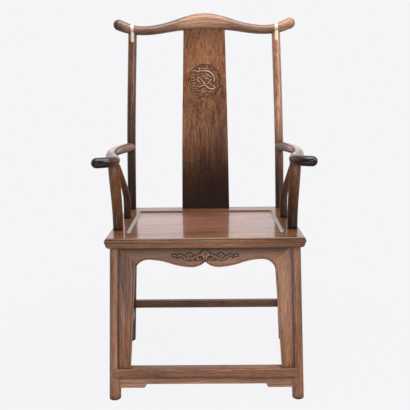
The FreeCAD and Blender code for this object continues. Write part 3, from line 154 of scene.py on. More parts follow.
def rubbed_and_shaded_tints(tree, rounded, corner_mm, pale):
    """Hands rub every arris paler, and the paler arris is also a painted highlight. Old wax and
    dust, and painted shade, darken the corners where pieces meet.
    """
    flat = put(tree, "ShaderNodeNewGeometry").outputs["Normal"]
    turned = put(
        tree, "ShaderNodeVectorMath", {0: rounded, 1: flat}, operation="DOT_PRODUCT"
    ).outputs["Value"]
    # Paler arrises: rubbed by hands, and a painted highlight along each edge
    rubbed = put(
        tree, "ShaderNodeMapRange",
        {"Value": turned, "From Min": 0.80, "From Max": 0.99, "To Min": 0.55, "To Max": 0.0},
    ).outputs["Result"]
    # Painted shade with old wax: darker wherever other wood is near
    openness = put(
        tree, "ShaderNodeAmbientOcclusion", {"Distance": corner_mm / 1000}, samples=8
    ).outputs["AO"]
    wax_and_shade = put(
        tree, "ShaderNodeMapRange",
        {"Value": openness, "From Min": 0.50, "From Max": 0.95, "To Min": 0.92, "To Max": 0.0},
    ).outputs["Result"]
    return [(rubbed, pale), (wax_and_shade, OLD_WAX_AND_SHADE)]


def rosewood(
    name, grain, pith, lean=0.0, ring_mm=6.0, rings=0.08, shades=ROSEWOOD_SHADES, streaks=0.8,
    wax=0.18, wax_weight=0.5, sheen=0.45, corner_mm=14.0, arris_mm=1.3, stain_and_shade=None, flecks=0.0,
    carved=0.0,
):
    """Rosewood sawn from a log whose heart is at pith. Growth rings, darker veins, fine fibres and
    open pores run along the grain. Its waxed or lacquered surface is a clear coat, wax is its
    roughness. A stain_and_shade is an axis, then pairs of a place along it and a darkness; it
    paints shade as well as stain."""
    wood = bpy.data.materials.new(name)
    wood.use_nodes = True
    tree = wood.node_tree
    tree.nodes.clear()
    spot = put(tree, "ShaderNodeTexCoord").outputs["Object"]
    log = put(
        tree, "ShaderNodeMapping",
        {"Vector": spot, "Location": pith, "Rotation": GRAIN_TURNS[grain]}, vector_type="TEXTURE",
    ).outputs["Vector"]
    log = put(
        tree, "ShaderNodeMapping", {"Vector": log, "Rotation": (lean, 0, 0)}
    ).outputs["Vector"]
    sway = streaky(tree, log, 0.22, 9.0, 3.0, 0.5).outputs["Color"]
    swayed = put(
        tree, "ShaderNodeVectorMath",
        {0: sway, 1: (0.05, 0.05, 0.05), 2: log}, operation="MULTIPLY_ADD",
    ).outputs["Vector"]
    growth = put(
        tree, "ShaderNodeTexWave",
        {
            "Vector": swayed, "Scale": RING_AT_SCALE_ONE / ring_mm, "Distortion": 3.0,
            "Detail": 2.0, "Detail Scale": 0.4, "Detail Roughness": 0.5,
        },
        wave_type="RINGS", rings_direction="Z", wave_profile="SIN",
    ).outputs["Fac"]
    # Scales are streaks in a metre: veins 7 mm apart, clouds 80 mm, fibres 2 mm and pores 1.5 mm.
    # Real fibres and pores are finer, and are drawn as coarse as they need to show
    veins = streaky(tree, log, 0.028, 135.0, 3.0, 0.55).outputs["Fac"]
    clouds = streaky(tree, log, 0.2, 12.0, 3.0, 0.5).outputs["Fac"]
    fibres = streaky(tree, log, 0.022, 520.0, 2.0, 0.55).outputs["Fac"]
    pores = streaky(tree, log, 0.05, 700.0, 1.0, 0.5).outputs["Fac"]
    layers = ((growth, rings), (veins, streaks * 0.46), (clouds, 0.6), (fibres, 0.3))
    figure = 0.5 - sum(weight for _, weight in layers) / 2
    for layer, weight in layers:
        figure = put(
            tree, "ShaderNodeMath", {0: layer, 1: weight, 2: figure}, operation="MULTIPLY_ADD"
        ).outputs["Value"]
    colour = stops(put(tree, "ShaderNodeValToRGB", {"Fac": figure}), shades)
    open_pore = put(
        tree, "ShaderNodeMapRange",
        {"Value": pores, "From Min": 0.56, "From Max": 0.66, "To Min": 0.0, "To Max": 0.5},
    ).outputs["Result"]
    if flecks:
        dashes = streaky(tree, log, 0.16, 260.0, 1.0, 0.5).outputs["Fac"]
        dashes = put(
            tree, "ShaderNodeMapRange",
            {"Value": dashes, "From Min": 0.58, "From Max": 0.68, "To Min": 0.0, "To Max": flecks},
        ).outputs["Result"]
        open_pore = put(
            tree, "ShaderNodeMath", {0: open_pore, 1: dashes}, operation="MAXIMUM"
        ).outputs["Value"]
    tints = [(open_pore, shades[0][1])]
    if stain_and_shade:
        tints.append((darkness_along(tree, spot, clouds, stain_and_shade), STAIN_AND_SHADE_TONE))
    if carved:
        tints += carving_tints(tree, carved)
    rounded = put(tree, "ShaderNodeBevel", {"Radius": arris_mm / 1000}, samples=4).outputs["Normal"]
    tints += rubbed_and_shaded_tints(tree, rounded, corner_mm, shades[-1][1])
    for share, tone in tints:
        colour = put(
            tree, "ShaderNodeMix", {0: share, 6: colour, 7: shade(tone)}, data_type="RGBA"
        ).outputs[2]
    dull = put(
        tree, "ShaderNodeMapRange",
        {"Value": veins, "From Min": 0.3, "From Max": 0.7, "To Min": sheen + 0.1, "To Max": sheen},
    ).outputs["Result"]
    height = put(
        tree, "ShaderNodeMath", {0: open_pore, 1: -0.8, 2: veins}, operation="MULTIPLY_ADD"
    ).outputs["Value"]
    hollow = put(
        tree, "ShaderNodeBump",
        {"Strength": 0.3, "Distance": 0.0002, "Height": height, "Normal": rounded},
    ).outputs["Normal"]
    shader = put(
        tree, "ShaderNodeBsdfPrincipled",
        {
            "Base Color": colour, "Roughness": dull, "IOR": 1.5, "Normal": hollow,
            "Specular IOR Level": 0.2, "Coat Weight": wax_weight, "Coat Roughness": wax,
            "Coat IOR": 1.5, "Coat Normal": hollow,
        },
    ).outputs["BSDF"]
    put(tree, "ShaderNodeOutputMaterial", {"Surface": shader})
    return wood


def dress(material, *names):
    """Gives CAD pieces their finish."""
    for name in names:
        for slot in nodes[name].material_slots:
            slot.material = material


leg_wood = rosewood(
    "waxed_rosewood_legs", "Z", (0.55, -0.05, 0.0),
    stain_and_shade=("Z", (0.0, 0.8), (0.02, 0.5), (0.07, 0.35), (0.12, 0.0), (0.40, 0.0), (0.477, 0.4)),
)
dress(leg_wood, "front_leg_left", "front_leg_right")
# Painted shade: the posts go dark below the seat and up the lower back, out of the overhead light
BACK_PAINTED_SHADE = (
    "Z", (0.0, 0.55), (0.30, 0.5), (0.46, 0.75), (0.51, 0.98), (0.645, 0.95), (0.765, 0.88),
    (0.905, 0.83), (1.045, 0.77), (1.15, 0.66),
)
post_wood = rosewood("waxed_rosewood_posts", "Z", (-0.08, 0.47, 0.3), stain_and_shade=BACK_PAINTED_SHADE)
dress(post_wood, "rear_leg_left")
# The right one takes lighter shades, painted light from the right-hand softbox, and has more gloss
LIT_SHADES = [
    (0.20, "#4a291b"),
    (0.38, "#835840"),
    (0.50, "#a5765a"),
    (0.62, "#b98a6b"),
    (0.82, "#d3aa8a"),
]
lit_post_wood = rosewood(
    "waxed_rosewood_lit_post", "Z", (0.38, 0.40, 0.3), shades=LIT_SHADES, wax_weight=0.9,
    # Painted shade low down, as on the left post
    stain_and_shade=(
        "Z", (0.0, 0.6), (0.30, 0.55), (0.46, 0.75), (0.51, 0.96), (0.63, 0.88), (0.73, 0.58),
        (0.85, 0.18), (0.95, 0.0),
    ),
)
dress(lit_post_wood, "rear_leg_right")

# Footrest and stretchers
# Four straight rosewood rails, tenoned into the legs and each set a step higher from front to
# side to back. The footrest is planed flat on top and worn by feet.

# Painted shade along its lower edge, over the board below; a darker band also runs under its top
footrest_wood = rosewood(
    "worn_rosewood_footrest", "X", (0.1, -0.31, 0.15), wax=0.3, sheen=0.5, flecks=0.5,
    stain_and_shade=("Z", (0.0725, 0.9), (0.0765, 0.35), (0.090, 0.15), (0.0965, 0.45), (0.1015, 0.2)),
)
dress(footrest_wood, "footrest")
# Painted shade: the rear rails stand under the seat, out of the overhead light, and are darker all
# over
rear_stretcher_wood = rosewood(
    "waxed_rosewood_rear_rail", "X", (0.3, 0.26, 0.06), stain_and_shade=("Z", (0.1, 0.6), (0.45, 0.6))
)
dress(rear_stretcher_wood, "rear_stretcher", "rear_apron")
# Painted light and shadow: lighter shades for the light it catches, and the footrest's painted
# shadow along its top
foot_apron_wood = rosewood(
    "waxed_rosewood_foot_board", "X", (-0.2, -0.35, 0.2), shades=LIT_SHADES, wax=0.3,
    wax_weight=1.0, sheen=0.5, stain_and_shade=("Z", (0.040, 0.1), (0.062, 0.1), (0.070, 0.75)),
)
dress(foot_apron_wood, "footrest_apron")
side_wood = rosewood("waxed_rosewood_side_rails", "Y", (0.05, 0.0, 0.30))
dress(
    side_wood, "side_stretcher_left", "side_stretcher_right", "side_apron_left", "side_apron_right"
)

# Seat frame and panel
# Four moulded rails mitred at the corners hold a thin panel, sunk below them so that it can
# swell. All of it is lacquered and rubbed until it mirrors the back.

WARM_SHADES = [
    (0.20, "#281106"),
    (0.38, "#5c3119"),
    (0.50, "#7e4d2b"),
    (0.62, "#98633c"),
    (0.82, "#bb8a5a"),
]
LACQUER_SHADES = [
    (0.20, "#4a271b"),
    (0.38, "#774837"),
    (0.50, "#8f5d49"),
    (0.62, "#9f6c56"),
    (0.80, "#b6866e"),
]
# Painted shade: the moulding is darkest under its top edge and in its crease
SEAT_PAINTED_SHADE = (
    "Z", (0.478, 0.5), (0.482, 0.0), (0.4893, 0.0), (0.4915, 0.65), (0.4935, 0.7), (0.4958, 0.55),
    (0.5005, 0.55), (0.5035, 0.8), (0.5065, 0.8), (0.508, 0.3),
)
for name, grain, pith, rails in (
    ("lacquered_rosewood_rails", "X", (0.2, -0.05, 0.40), ("seat_rail_front", "seat_rail_rear")),
    ("lacquered_rosewood_side_rails", "Y", (0.0, 0.1, 0.42), ("seat_rail_left", "seat_rail_right")),
):
    rail_wood = rosewood(
        name, grain, pith, shades=WARM_SHADES, wax=0.10, wax_weight=0.72, stain_and_shade=SEAT_PAINTED_SHADE
    )
    dress(rail_wood, *rails)
panel_wood = rosewood(
    "lacquered_rosewood_panel", "X", (0.1, 0.02, 0.46), lean=0.05, shades=LACQUER_SHADES, wax=0.03,
    wax_weight=0.68,
)
dress(panel_wood, "seat_panel")
batten_wood = rosewood("plain_rosewood_battens", "Y", (0.1, 0.0, 0.3), wax=0.4)
dress(batten_wood, "seat_batten_left", "seat_batten_right")

# Front arch and side arches
# A carved apron mitred to two stiles on each side, all housed in grooves in the legs. A half-round
# bead follows every opening, left standing when the face was cut back.

# Millimetres into the board and out of its face, then its wear and painted light: the bead, paler
# as rubbed and as a painted highlight, then its groove, dark as a painted shadow
BEAD_SECTION = [
    (0.3, -0.6, 0.5), (0.3, 0.3, 0.6), (0.8, 0.95, 0.5), (1.6, 1.35, 0.7), (2.6, 1.3, 0.7),
    (3.3, 0.85, 0.5), (3.7, 0.15, 0.0), (5.2, 0.1, 0.1), (6.0, 0.08, 0.45), (6.0, -0.6, 0.5),
]
# Millimetres across and up, from the foot to the middle, then the radius and side of a bend
FRONT_ARCH = [
    (229.5, 102.0), (207.7, 404.0), (169.7, 440.4, 40, 1), (105.85, 429.36, 200, 1),
    (42.0, 416.9, 225, -1), (0.0, 432.6, 58, -1),
]
SIDE_ARCH = [
    (173.0, 128.6), (162.0, 395.6), (124.0, 432.0, 40, 1), (77.0, 425.42, 200, 1),
    (30.0, 418.0, 225, -1), (0.0, 427.0, 58, -1),
]
# The boards lean with the legs. The side arches stand a little in front of the middle
FRONT_LEAN = math.radians(2.31)
SIDE_LEAN = math.radians(2.37)
SIDE_ARCH_MIDDLE = -0.024
# The face at an edge is looked for this far inside the board, where there is wood for sure
EDGE_MARGIN = 0.003
# Rays start this far from the middle, outside of the chair
OUTSIDE = 0.5

# Painted shadow of the seat frame: the apron darkens up to it
APRON_PAINTED_SHADOW = ("Z", (0.415, 0.25), (0.430, 0.42), (0.447, 0.6), (0.462, 0.75), (0.474, 0.92))
apron_wood = rosewood(
    "waxed_rosewood_apron", "X", (0.0, -0.20, 0.56), streaks=0.6, arris_mm=0.2,
    stain_and_shade=APRON_PAINTED_SHADOW,
)
scroll_wood = rosewood(
    "carved_rosewood_apron", "X", (0.0, -0.20, 0.56), streaks=0.6, arris_mm=0.2,
    stain_and_shade=APRON_PAINTED_SHADOW, carved=0.7,
)
# Painted shade under the seat frame, and at the stile's foot above the footrest
STILE_PAINTED_SHADE = (
    "Z", (0.10, 0.55), (0.125, 0.15), (0.16, 0.0), (0.36, 0.0), (0.44, 0.25), (0.477, 0.5),
)
stile_wood = rosewood("waxed_rosewood_stiles", "Z", (0.0, -0.12, 0.2), stain_and_shade=STILE_PAINTED_SHADE)
bead_wood = rosewood(
    "beaded_rosewood_edges", "Z", (0.0, -0.12, 0.2), arris_mm=0.2, stain_and_shade=STILE_PAINTED_SHADE, carved=0.7
)
dress(apron_wood, "front_apron")
dress(
    stile_wood, "front_stile_left", "front_stile_right", "side_stile_left_front",
    "side_stile_left_rear", "side_stile_right_front", "side_stile_right_rear",
)


def surface_of(*names):
    """The pieces as one surface that a ray can be sent onto."""
    shape = bmesh.new()
    for name in names:
        shape.from_mesh(nodes[name].data)
    tree = BVHTree.FromBMesh(shape)
    shape.free()
    return tree


def arch_line(corners, steps=14):
    """The edge of an arch from its foot to the middle, as places of across and up, in metres."""
    places = [np.array(corners[0], float)]
    for x, z, *bend in corners[1:]:
        start, end = places[-1], np.array((x, z), float)
        if not bend:
            places.append(end)
            continue
        radius, side = bend
        chord = end - start
        long = np.linalg.norm(chord)
        left = np.array((-chord[1], chord[0])) / long
        centre = (start + end) / 2 + left * side * math.sqrt(radius**2 - long**2 / 4)
        first = math.atan2(*(start - centre)[::-1])
        turn = math.atan2(*(end - centre)[::-1]) - first
        turn = (turn + math.pi) % (2 * math.pi) - math.pi
        for step in range(1, steps + 1):
            angle = first + turn * step / steps
            places.append(centre + radius * np.array((math.cos(angle), math.sin(angle))))
    return np.array(places) / 1000


def bead_line(corners):
    """The arch's edge, place by place, with the way from there into the wood."""
    line = arch_line(corners)
    run = np.gradient(line, axis=0)
    run /= np.linalg.norm(run, axis=1)[:, None]
    return zip(line, np.stack((run[:, 1], -run[:, 0]), axis=1))


def smoothed(mesh, sharp=32):
    """Shades a mesh smooth, except at its arrises."""
    mesh.polygons.foreach_set("use_smooth", [True] * len(mesh.polygons))
    mesh.set_sharp_from_angle(angle=math.radians(sharp))


def finished(name, shape, wood, sharp=32):
    """Makes a piece of a closed bmesh."""
    bmesh.ops.remove_doubles(shape, verts=shape.verts, dist=1e-6)
    bmesh.ops.recalc_face_normals(shape, faces=shape.faces)
    mesh = bpy.data.meshes.new(name)
    shape.to_mesh(mesh)
    shape.free()
    mesh.materials.append(wood)
    smoothed(mesh, sharp)
    made = bpy.data.objects.new(name, mesh)
    bpy.context.scene.collection.objects.link(made)
    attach(made, "root")
    return made


def swept(shape, rows):
    """Joins the sections of a strip, one after the other, and closes both its ends."""
    rings = []
    for row in rows:
        rings.append([shape.edges.new(pair) for pair in zip(row, row[1:] + row[:1])])
    for ring, later in zip(rings, rings[1:]):
        bmesh.ops.bridge_loops(shape, edges=ring + later)
    for ring in (rings[0], rings[-1]):
        bmesh.ops.edgeloop_fill(shape, edges=ring)


def bead(name, lines, wood):
    """Half-round beads along lines in space, each with the scratched groove beside it. A line is
    pairs of a place on the face and the way into the board; out is the way out of the face."""
    shape = bmesh.new()
    wear_and_painted_light = shape.verts.layers.float.new("wear_and_painted_light")
    for line, out in lines:
        rows = []
        for place, inward in line:
            row = []
            for across, height, bright in BEAD_SECTION:
                corner = shape.verts.new(place + inward * (across / 1000) + out * (height / 1000))
                corner[wear_and_painted_light] = bright
                row.append(corner)
            rows.append(row)
        swept(shape, rows)
    finished(name, shape, wood, 70)


def met(surface, start, way):
    """Where a ray meets a surface, or None."""
    return surface.ray_cast(Vector(start), Vector(way))[0]


front_face = surface_of("front_apron", "front_stile_left", "front_stile_right")
front_lines = []
for side in (1, -1):
    line = []
    for (x, z), (inward, up) in bead_line(FRONT_ARCH):
        level = (z + up * EDGE_MARGIN) * math.cos(FRONT_LEAN)
        seen = met(front_face, ((x + inward * EDGE_MARGIN) * side, -OUTSIDE, level), (0, 1, 0))
        into = Vector((inward * side, 0, up))
        line.append((seen - into * EDGE_MARGIN, into))
    front_lines.append((line, Vector((0, -1, 0))))
bead("front_bead", front_lines, bead_wood)

for side, word in ((-1, "left"), (1, "right")):
    face = surface_of(f"side_apron_{word}", f"side_stile_{word}_front", f"side_stile_{word}_rear")
    side_lines = []
    for way in (1, -1):
        line = []
        for (y, z), (inward, up) in bead_line(SIDE_ARCH):
            level = (z + up * EDGE_MARGIN) * math.cos(SIDE_LEAN)
            back = (y + inward * EDGE_MARGIN) * way + SIDE_ARCH_MIDDLE
            seen = met(face, (OUTSIDE * side, back, level), (-side, 0, 0))
            into = Vector((0, inward * way, up))
            line.append((seen - into * EDGE_MARGIN, into))
        side_lines.append((line, Vector((side, 0, 0))))
    bead(f"side_bead_{word}", side_lines, bead_wood)

# Crease shade
# A thin dark sheet laid into the crease where each front leg stands proud of its stile: painted
# shade, a thin dark line all the way down.

# Millimetres outward from the crease and towards the front, then how light, low for painted shade;
# the last two are behind
CREASE_SHADE_SECTION = [
    (-9.0, 0.05, 0.5), (-3.2, 0.15, 0.28), (-0.9, 0.4, 0.04), (0.7, 0.8, 0.0), (2.6, 2.5, 0.42),
    (2.6, -0.8, 0.5), (-9.0, -0.8, 0.5),
]
# Metres above the floor, and from the middle of the chair
CREASE_SHADE_LEVELS = np.linspace(0.094, 0.477, 64)
CREASE_SEARCH = np.linspace(0.20, 0.29, 181)
shape = bmesh.new()
wear_and_painted_light = shape.verts.layers.float.new("wear_and_painted_light")
for side, word in ((-1, "left"), (1, "right")):
    leg_face = surface_of(f"front_leg_{word}")
    stile_face = surface_of(f"front_stile_{word}")
    rows = []
    for level in CREASE_SHADE_LEVELS:
        creases = []
        for across in CREASE_SEARCH:
            start = (across * side, -OUTSIDE, level)
            on_leg = met(leg_face, start, (0, 1, 0))
            on_stile = met(stile_face, start, (0, 1, 0))
            if on_leg and on_stile and on_leg.y < on_stile.y:
                creases.append((across, on_stile.y))
        if not creases:
            continue
        crease, depth = min(creases)
        row = []
        for step, lift, bright in CREASE_SHADE_SECTION:
            corner = shape.verts.new(((crease + step / 1000) * side, depth - lift / 1000, level))
            corner[wear_and_painted_light] = bright
            row.append(corner)
        rows.append(row)
    swept(shape, rows)
crease_shade = finished("joint_crease_shade", shape, bead_wood, 70)

# Apron scroll
# Curling grass and a bud, carved by chisel in the middle of the apron. The ground round the
# stalks is sunk, and steepest above them.

# Left, right, low and high, in metres. The other sizes of the scroll are in millimetres
SCROLL_BOX = (-0.100, 0.100, 0.4342, 0.4740)
SCROLL_RISE = 2.1
SCROLL_SINK = 1.9
# How far the ground is sunk round a stalk: further above the line of the buds than below it
SHELF_LINE = 449
SHELF_ABOVE = 5.5
SHELF_BELOW = 3.6
# One half: the points of each stroke, in millimetres across and up, and half its width
SCROLL = [
    ([(-2.9, 435.7), (-3.6, 441.8), (-5.9, 448.8), (-11.2, 453.4), (-16.5, 454.2), (-21.9, 451.9),
      (-24.1, 447.2), (-22.6, 441.8), (-18.1, 438.8), (-14.3, 441.1), (-13.5, 444.9)], 1.5),
    ([(-24.1, 447.2), (-27.9, 450.3), (-31.7, 447.2), (-35.5, 443.4), (-40.8, 441.8),
      (-46.1, 443.4), (-49.9, 446.5), (-52.2, 451.1), (-49.9, 454.9), (-45.4, 456.5),
      (-41.6, 454.2), (-40.8, 450.3), (-43.9, 448.8)], 1.4),
    ([(-44, 438.8), (-53, 440.3), (-59, 442.6), (-63.6, 447.2), (-68.9, 451.1), (-74.2, 453.4),
      (-79.5, 451.8), (-82, 447)], 1.25),
    ([(-57.5, 443.5), (-59.8, 447.2), (-62, 448.6)], 0.9),
    ([(-28.2, 438.0), (-29.2, 438.0)], 1.6),
    ([(-87.5, 451.4), (-91.7, 452.2), (-96, 453.2)], 1.7),
    ([(-1.2, 445), (-6.5, 451), (-10, 458), (-8.5, 461), (-5, 458.5), (-3.4, 454)], 1.3),
    ([(0, 444.5), (-3.4, 452), (-4.6, 459), (-2.4, 466), (0, 470.3)], 1.3),
    ([(0, 450), (0, 462)], 1.5),
]


def smooth_line(points, steps=9):
    """Catmull-Rom: a smooth line through the points of a stroke."""
    points = np.array(points, float)
    if len(points) < 3:
        return np.linspace(points[0], points[-1], steps)
    ends = np.concatenate((2 * points[:1] - points[1:2], points, 2 * points[-1:] - points[-2:-1]))
    share = np.linspace(0, 1, steps, endpoint=False)[:, None]
    parts = []
    for a, b, c, d in zip(ends, ends[1:], ends[2:], ends[3:]):
        parts.append(
            0.5 * (2 * b + (c - a) * share + (2 * a - 5 * b + 4 * c - d) * share**2
                   + (3 * b - a - 3 * c + d) * share**3)
        )
    return np.concatenate((*parts, points[-1:]))


def relief(places, strokes, height, taper=0.45, reach=9):
    """How far the strokes stand above their ground at each place, and how near the next one is.
    Strokes are round on top and thin out at their ends. Places out of their reach are left out."""
    high = np.zeros(len(places))
    near = np.full(len(places), np.inf)
    for points, half in strokes:
        line = smooth_line(points)
        share = np.linspace(-1, 1, len(line))
        wide = half * (1 - taper * np.abs(share) ** 4)
        close = (places > line.min(axis=0) - reach) & (places < line.max(axis=0) + reach)
        part = np.flatnonzero(close.all(axis=1))
        apart = np.linalg.norm(places[part, None] - line[None], axis=2)
        nearest = apart.argmin(axis=1)
        gap = apart[np.arange(len(nearest)), nearest]
        own = wide[nearest]
        near[part] = np.minimum(near[part], gap - own)
        rise = height * (own / half) * np.sqrt(np.clip(1 - (gap / (own * 1.15)) ** 2, 0, 1))
        high[part] = np.maximum(high[part], rise)
    return high, near


def steps_between(value, low, high):
    """A smooth step from 0 at low to 1 at high."""
    share = np.clip((value - low) / (high - low), 0, 1)
    return share * share * (3 - 2 * share)


def recessed(name, node, cutter, wood):
    """A copy of a CAD board with a recess cut for its carving."""
    shape = bmesh.new()
    shape.from_mesh(nodes[node].data)
    board = finished(name, shape, wood)
    tool = finished(name + "_cutter", cutter, wood)
    cut = board.modifiers.new("recess", "BOOLEAN")
    cut.object = tool
    cut.solver = "EXACT"
    bpy.context.view_layer.update()
    dressed = board.evaluated_get(bpy.context.evaluated_depsgraph_get())
    mesh = bpy.data.meshes.new_from_object(dressed)
    board.modifiers.clear()
    board.data = mesh
    smoothed(mesh)
    bpy.data.objects.remove(tool)
    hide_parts(node)
    return board


def wear(down, up, deepest, highest):
    """How worn a carving is: 0 in its deepest ground, 0.5 on the old face, 1 on its ridges."""
    return max(0.5 - down / (2 * deepest), min(up / highest, 1.0))


def backed(shape, depth_at):
    """Gives a carved sheet its back and sides, so that it is a closed solid."""
    rim = [edge for edge in shape.edges if edge.is_boundary]
    for part in bmesh.ops.extrude_edge_only(shape, edges=rim)["geom"]:
        if isinstance(part, bmesh.types.BMVert):
            part.co.y = depth_at(part.co.z)
    bmesh.ops.edgeloop_fill(shape, edges=[edge for edge in shape.edges if edge.is_boundary])


left, right, low, high = SCROLL_BOX
shape = bmesh.new()
bmesh.ops.create_grid(shape, x_segments=420, y_segments=84, size=0.5)
bmesh.ops.scale(shape, verts=shape.verts, vec=(right - left, high - low, 1))
bmesh.ops.translate(shape, verts=shape.verts, vec=((left + right) / 2, (low + high) / 2, 0))
spots = np.array([(v.co.x, v.co.y) for v in shape.verts])
strokes = SCROLL + [([(-x, z) for x, z in points], half) for points, half in SCROLL]
rise, near = relief(spots * 1000, strokes, SCROLL_RISE)
shelf = np.where(spots[:, 1] * 1000 > SHELF_LINE, SHELF_ABOVE, SHELF_BELOW)
sunk = SCROLL_SINK * (1 - steps_between(near, shelf - 1.1, shelf + 0.3))
# The patch fades to the plain board at its edge
edge = 1000 * np.minimum.reduce(
    (spots[:, 0] - left, right - spots[:, 0], spots[:, 1] - low, high - spots[:, 1])
)
sunk *= steps_between(edge, 0.2, 1.6)
rise *= steps_between(edge, 0.0, 0.9)
wear_and_painted_light = shape.verts.layers.float.new("wear_and_painted_light")
for vert, (x, z), down, up in zip(shape.verts, spots, sunk, rise):
    vert.co = met(front_face, (x, -OUTSIDE, z), (0, 1, 0)) + Vector((0, (down - up) / 1000, 0))
    vert[wear_and_painted_light] = wear(down, up, SCROLL_SINK, 1.7)
scroll_back = max(vert.co.y for vert in shape.verts) + 0.003
backed(shape, lambda level: scroll_back)
carving = finished("apron_scroll", shape, scroll_wood, 60)
CUTTER_DEPTH = 0.04
cutter = bmesh.new()
bmesh.ops.create_cube(cutter, size=1)
bmesh.ops.scale(cutter, verts=cutter.verts, vec=(right - left, CUTTER_DEPTH, high - low))
bmesh.ops.translate(
    cutter, verts=cutter.verts,
    vec=((left + right) / 2, scroll_back - CUTTER_DEPTH / 2, (low + high) / 2),
)
apron_board = recessed("apron_board", "front_apron", cutter, apron_wood)
# Its front is flat, and shaded flat, so that no seam shows round the patch
for face in apron_board.data.polygons:
    face.use_smooth = abs(face.normal.y) < 0.99

# Back splat
# One wide board sawn to an S, chosen for its flame figure, with painted shade low down where the S
# turns its face away from the light. It is housed in the crest rail and in the rear seat rail.

# Painted shade low down; darker again towards the crest rail, with a thin paler line across
SPLAT_PAINTED_SHADE = (
    "Z", (0.50, 1.0), (0.58, 0.96), (0.64, 0.90), (0.684, 0.84), (0.688, 0.72), (0.692, 0.78),
    (0.74, 0.55), (0.785, 0.24), (0.83, 0.04), (0.87, 0.0), (1.0, 0.0), (1.06, 0.35), (1.15, 0.65),
)
splat_wood = rosewood(
    "figured_rosewood_splat", "Z", (0.005, 0.246, 1.12), ring_mm=4.5, rings=0.10,
    shades=WARM_SHADES, streaks=1.2, flecks=0.7, wax=0.34, wax_weight=0.26, arris_mm=0.2,
    stain_and_shade=SPLAT_PAINTED_SHADE,
)

# Carved roundel
# A coiled young dragon among clouds and grass, a common figure on such chairs. It is cut from
# the splat itself: the ground is sunk, and the figure is left about level with the board.

# In metres: above the floor, and how deep the recess for it is. The other sizes are in millimetres
ROUNDEL_HEIGHT = 0.962
ROUNDEL_RECESS = 0.0035
ROUNDEL_RADIUS = 58.3
# The whole figure is spread by this much from how it is drawn here
ROUNDEL_SPREAD = 1.03
DRAGON_RISE = 2.5
CLOUD_RISE = 1.7
CLOUD_HALF_WIDTH = 1.35
RIM_RISE = 1.9
RIM_RADIUS = 52.6
RIM_HALF_WIDTH = 1.7
# From here outward the wood is plain, and between the next two the ground rises to the board
CARVED_RADIUS = 52
GROUND_EDGE = (55.2, 56.5)
# The points of each stroke, in millimetres from the middle of the roundel, and half its width
DRAGON = [
    ([(-13, 31.5), (-5, 33.5), (4, 33.3), (12.7, 31.3), (21.4, 27), (28.4, 19.3), (32.4, 10.5),
      (33, 2.6), (30, -4.5)], 2.9),
    ([(-6.6, 21.9), (-1.3, 14.9), (3.9, 8.8), (9.5, 7.2), (12, 10)], 2.0),
    ([(1, 24), (8, 22), (14, 18.5), (19, 14), (23.5, 11.4)], 1.7),
    ([(3.9, 19.5), (9, 15.5), (14, 13)], 1.5),
    ([(-15.3, 7.9), (-9.2, 0.9), (-3.1, -7), (3.9, -16.6), (10.9, -22.8), (19.7, -27.1),
      (28.4, -28), (34.6, -24.5), (33.2, -18.5), (28.4, -16)], 2.6),
    ([(-15.3, 7.9), (-20, 11), (-24.5, 7), (-23.5, 0), (-18, -3.2), (-12.5, -2)], 1.8),
    ([(25, 4), (18, -1), (13, -7), (9, -12)], 1.9),
    ([(13, -5), (20, -10), (27, -15)], 1.6),
    ([(17, -16), (24, -20)], 1.4),
    ([(-2, -16.6), (-10, -16.6), (-17, -20.5), (-22, -18)], 1.8),
    ([(-6.6, -23.5), (-4.8, -31.5), (-8, -36), (-13, -34)], 1.8),
    ([(9.2, -31.5), (3, -37), (-5, -39), (-9, -36)], 1.8),
    ([(11, -39), (18, -37), (24, -34)], 1.6),
    ([(-44, 29), (-38, 33), (-30, 33.5), (-24, 31), (-17, 33), (-15.5, 38), (-19, 42),
      (-24, 41)], 1.9),
]
CLOUDS = [
    [(-46, 18), (-40, 22), (-34, 20), (-30, 24)], [(-48, 8), (-43, 12), (-38, 9), (-33, 13)],
    [(-49, -2), (-44, 2), (-38, 0), (-35, 5), (-30, 5)],
    [(-47, -12), (-42, -8), (-36, -10), (-32, -6), (-27, -8)],
    [(-43, -21), (-38, -17), (-32, -19), (-28, -15)],
    [(-39, -29), (-34, -25), (-28, -27), (-24, -24), (-19, -27)],
    [(-32, -37), (-27, -33), (-21, -34), (-17, -31)],
    [(-22, -43), (-15, -41), (-9, -44), (-3, -42.5)], [(-12, 43), (-4, 40.5), (5, 41), (11, 44)],
    [(12, 39), (17, 38), (21, 34.5)], [(20, 44), (26, 40), (31, 35)],
    [(28, 32), (33, 29), (37, 24)], [(37, 33), (41, 27), (44, 20)],
    [(38, 17), (42, 12), (43, 6)], [(46, 12), (48, 4), (47.5, -4)],
    [(38, -1), (42, -6), (42, -12)], [(46, -12), (44, -20), (40, -27)],
    [(37, -33), (31, -38), (24, -42)], [(14, -46), (6, -48), (-3, -48.5)],
    [(-36, 40), (-42, 34), (-47, 27)], [(-28, 14), (-24, 17), (-19, 17)],
    [(-14, 24), (-19, 26), (-25, 25)], [(20, 4), (15, 3), (10, -1)],
    [(-8, -9), (-14, -10), (-20, -11)], [(4, -26), (0, -30), (2, -33)],
]

roundel_wood = rosewood(
    "carved_rosewood_splat", "Z", (0.005, 0.246, 1.12), ring_mm=4.5, rings=0.10,
    shades=WARM_SHADES, streaks=1.2, flecks=0.7, wax=0.3, wax_weight=0.4, arris_mm=0.2,
    stain_and_shade=SPLAT_PAINTED_SHADE, carved=0.5,
)
splat_face = surface_of("splat")

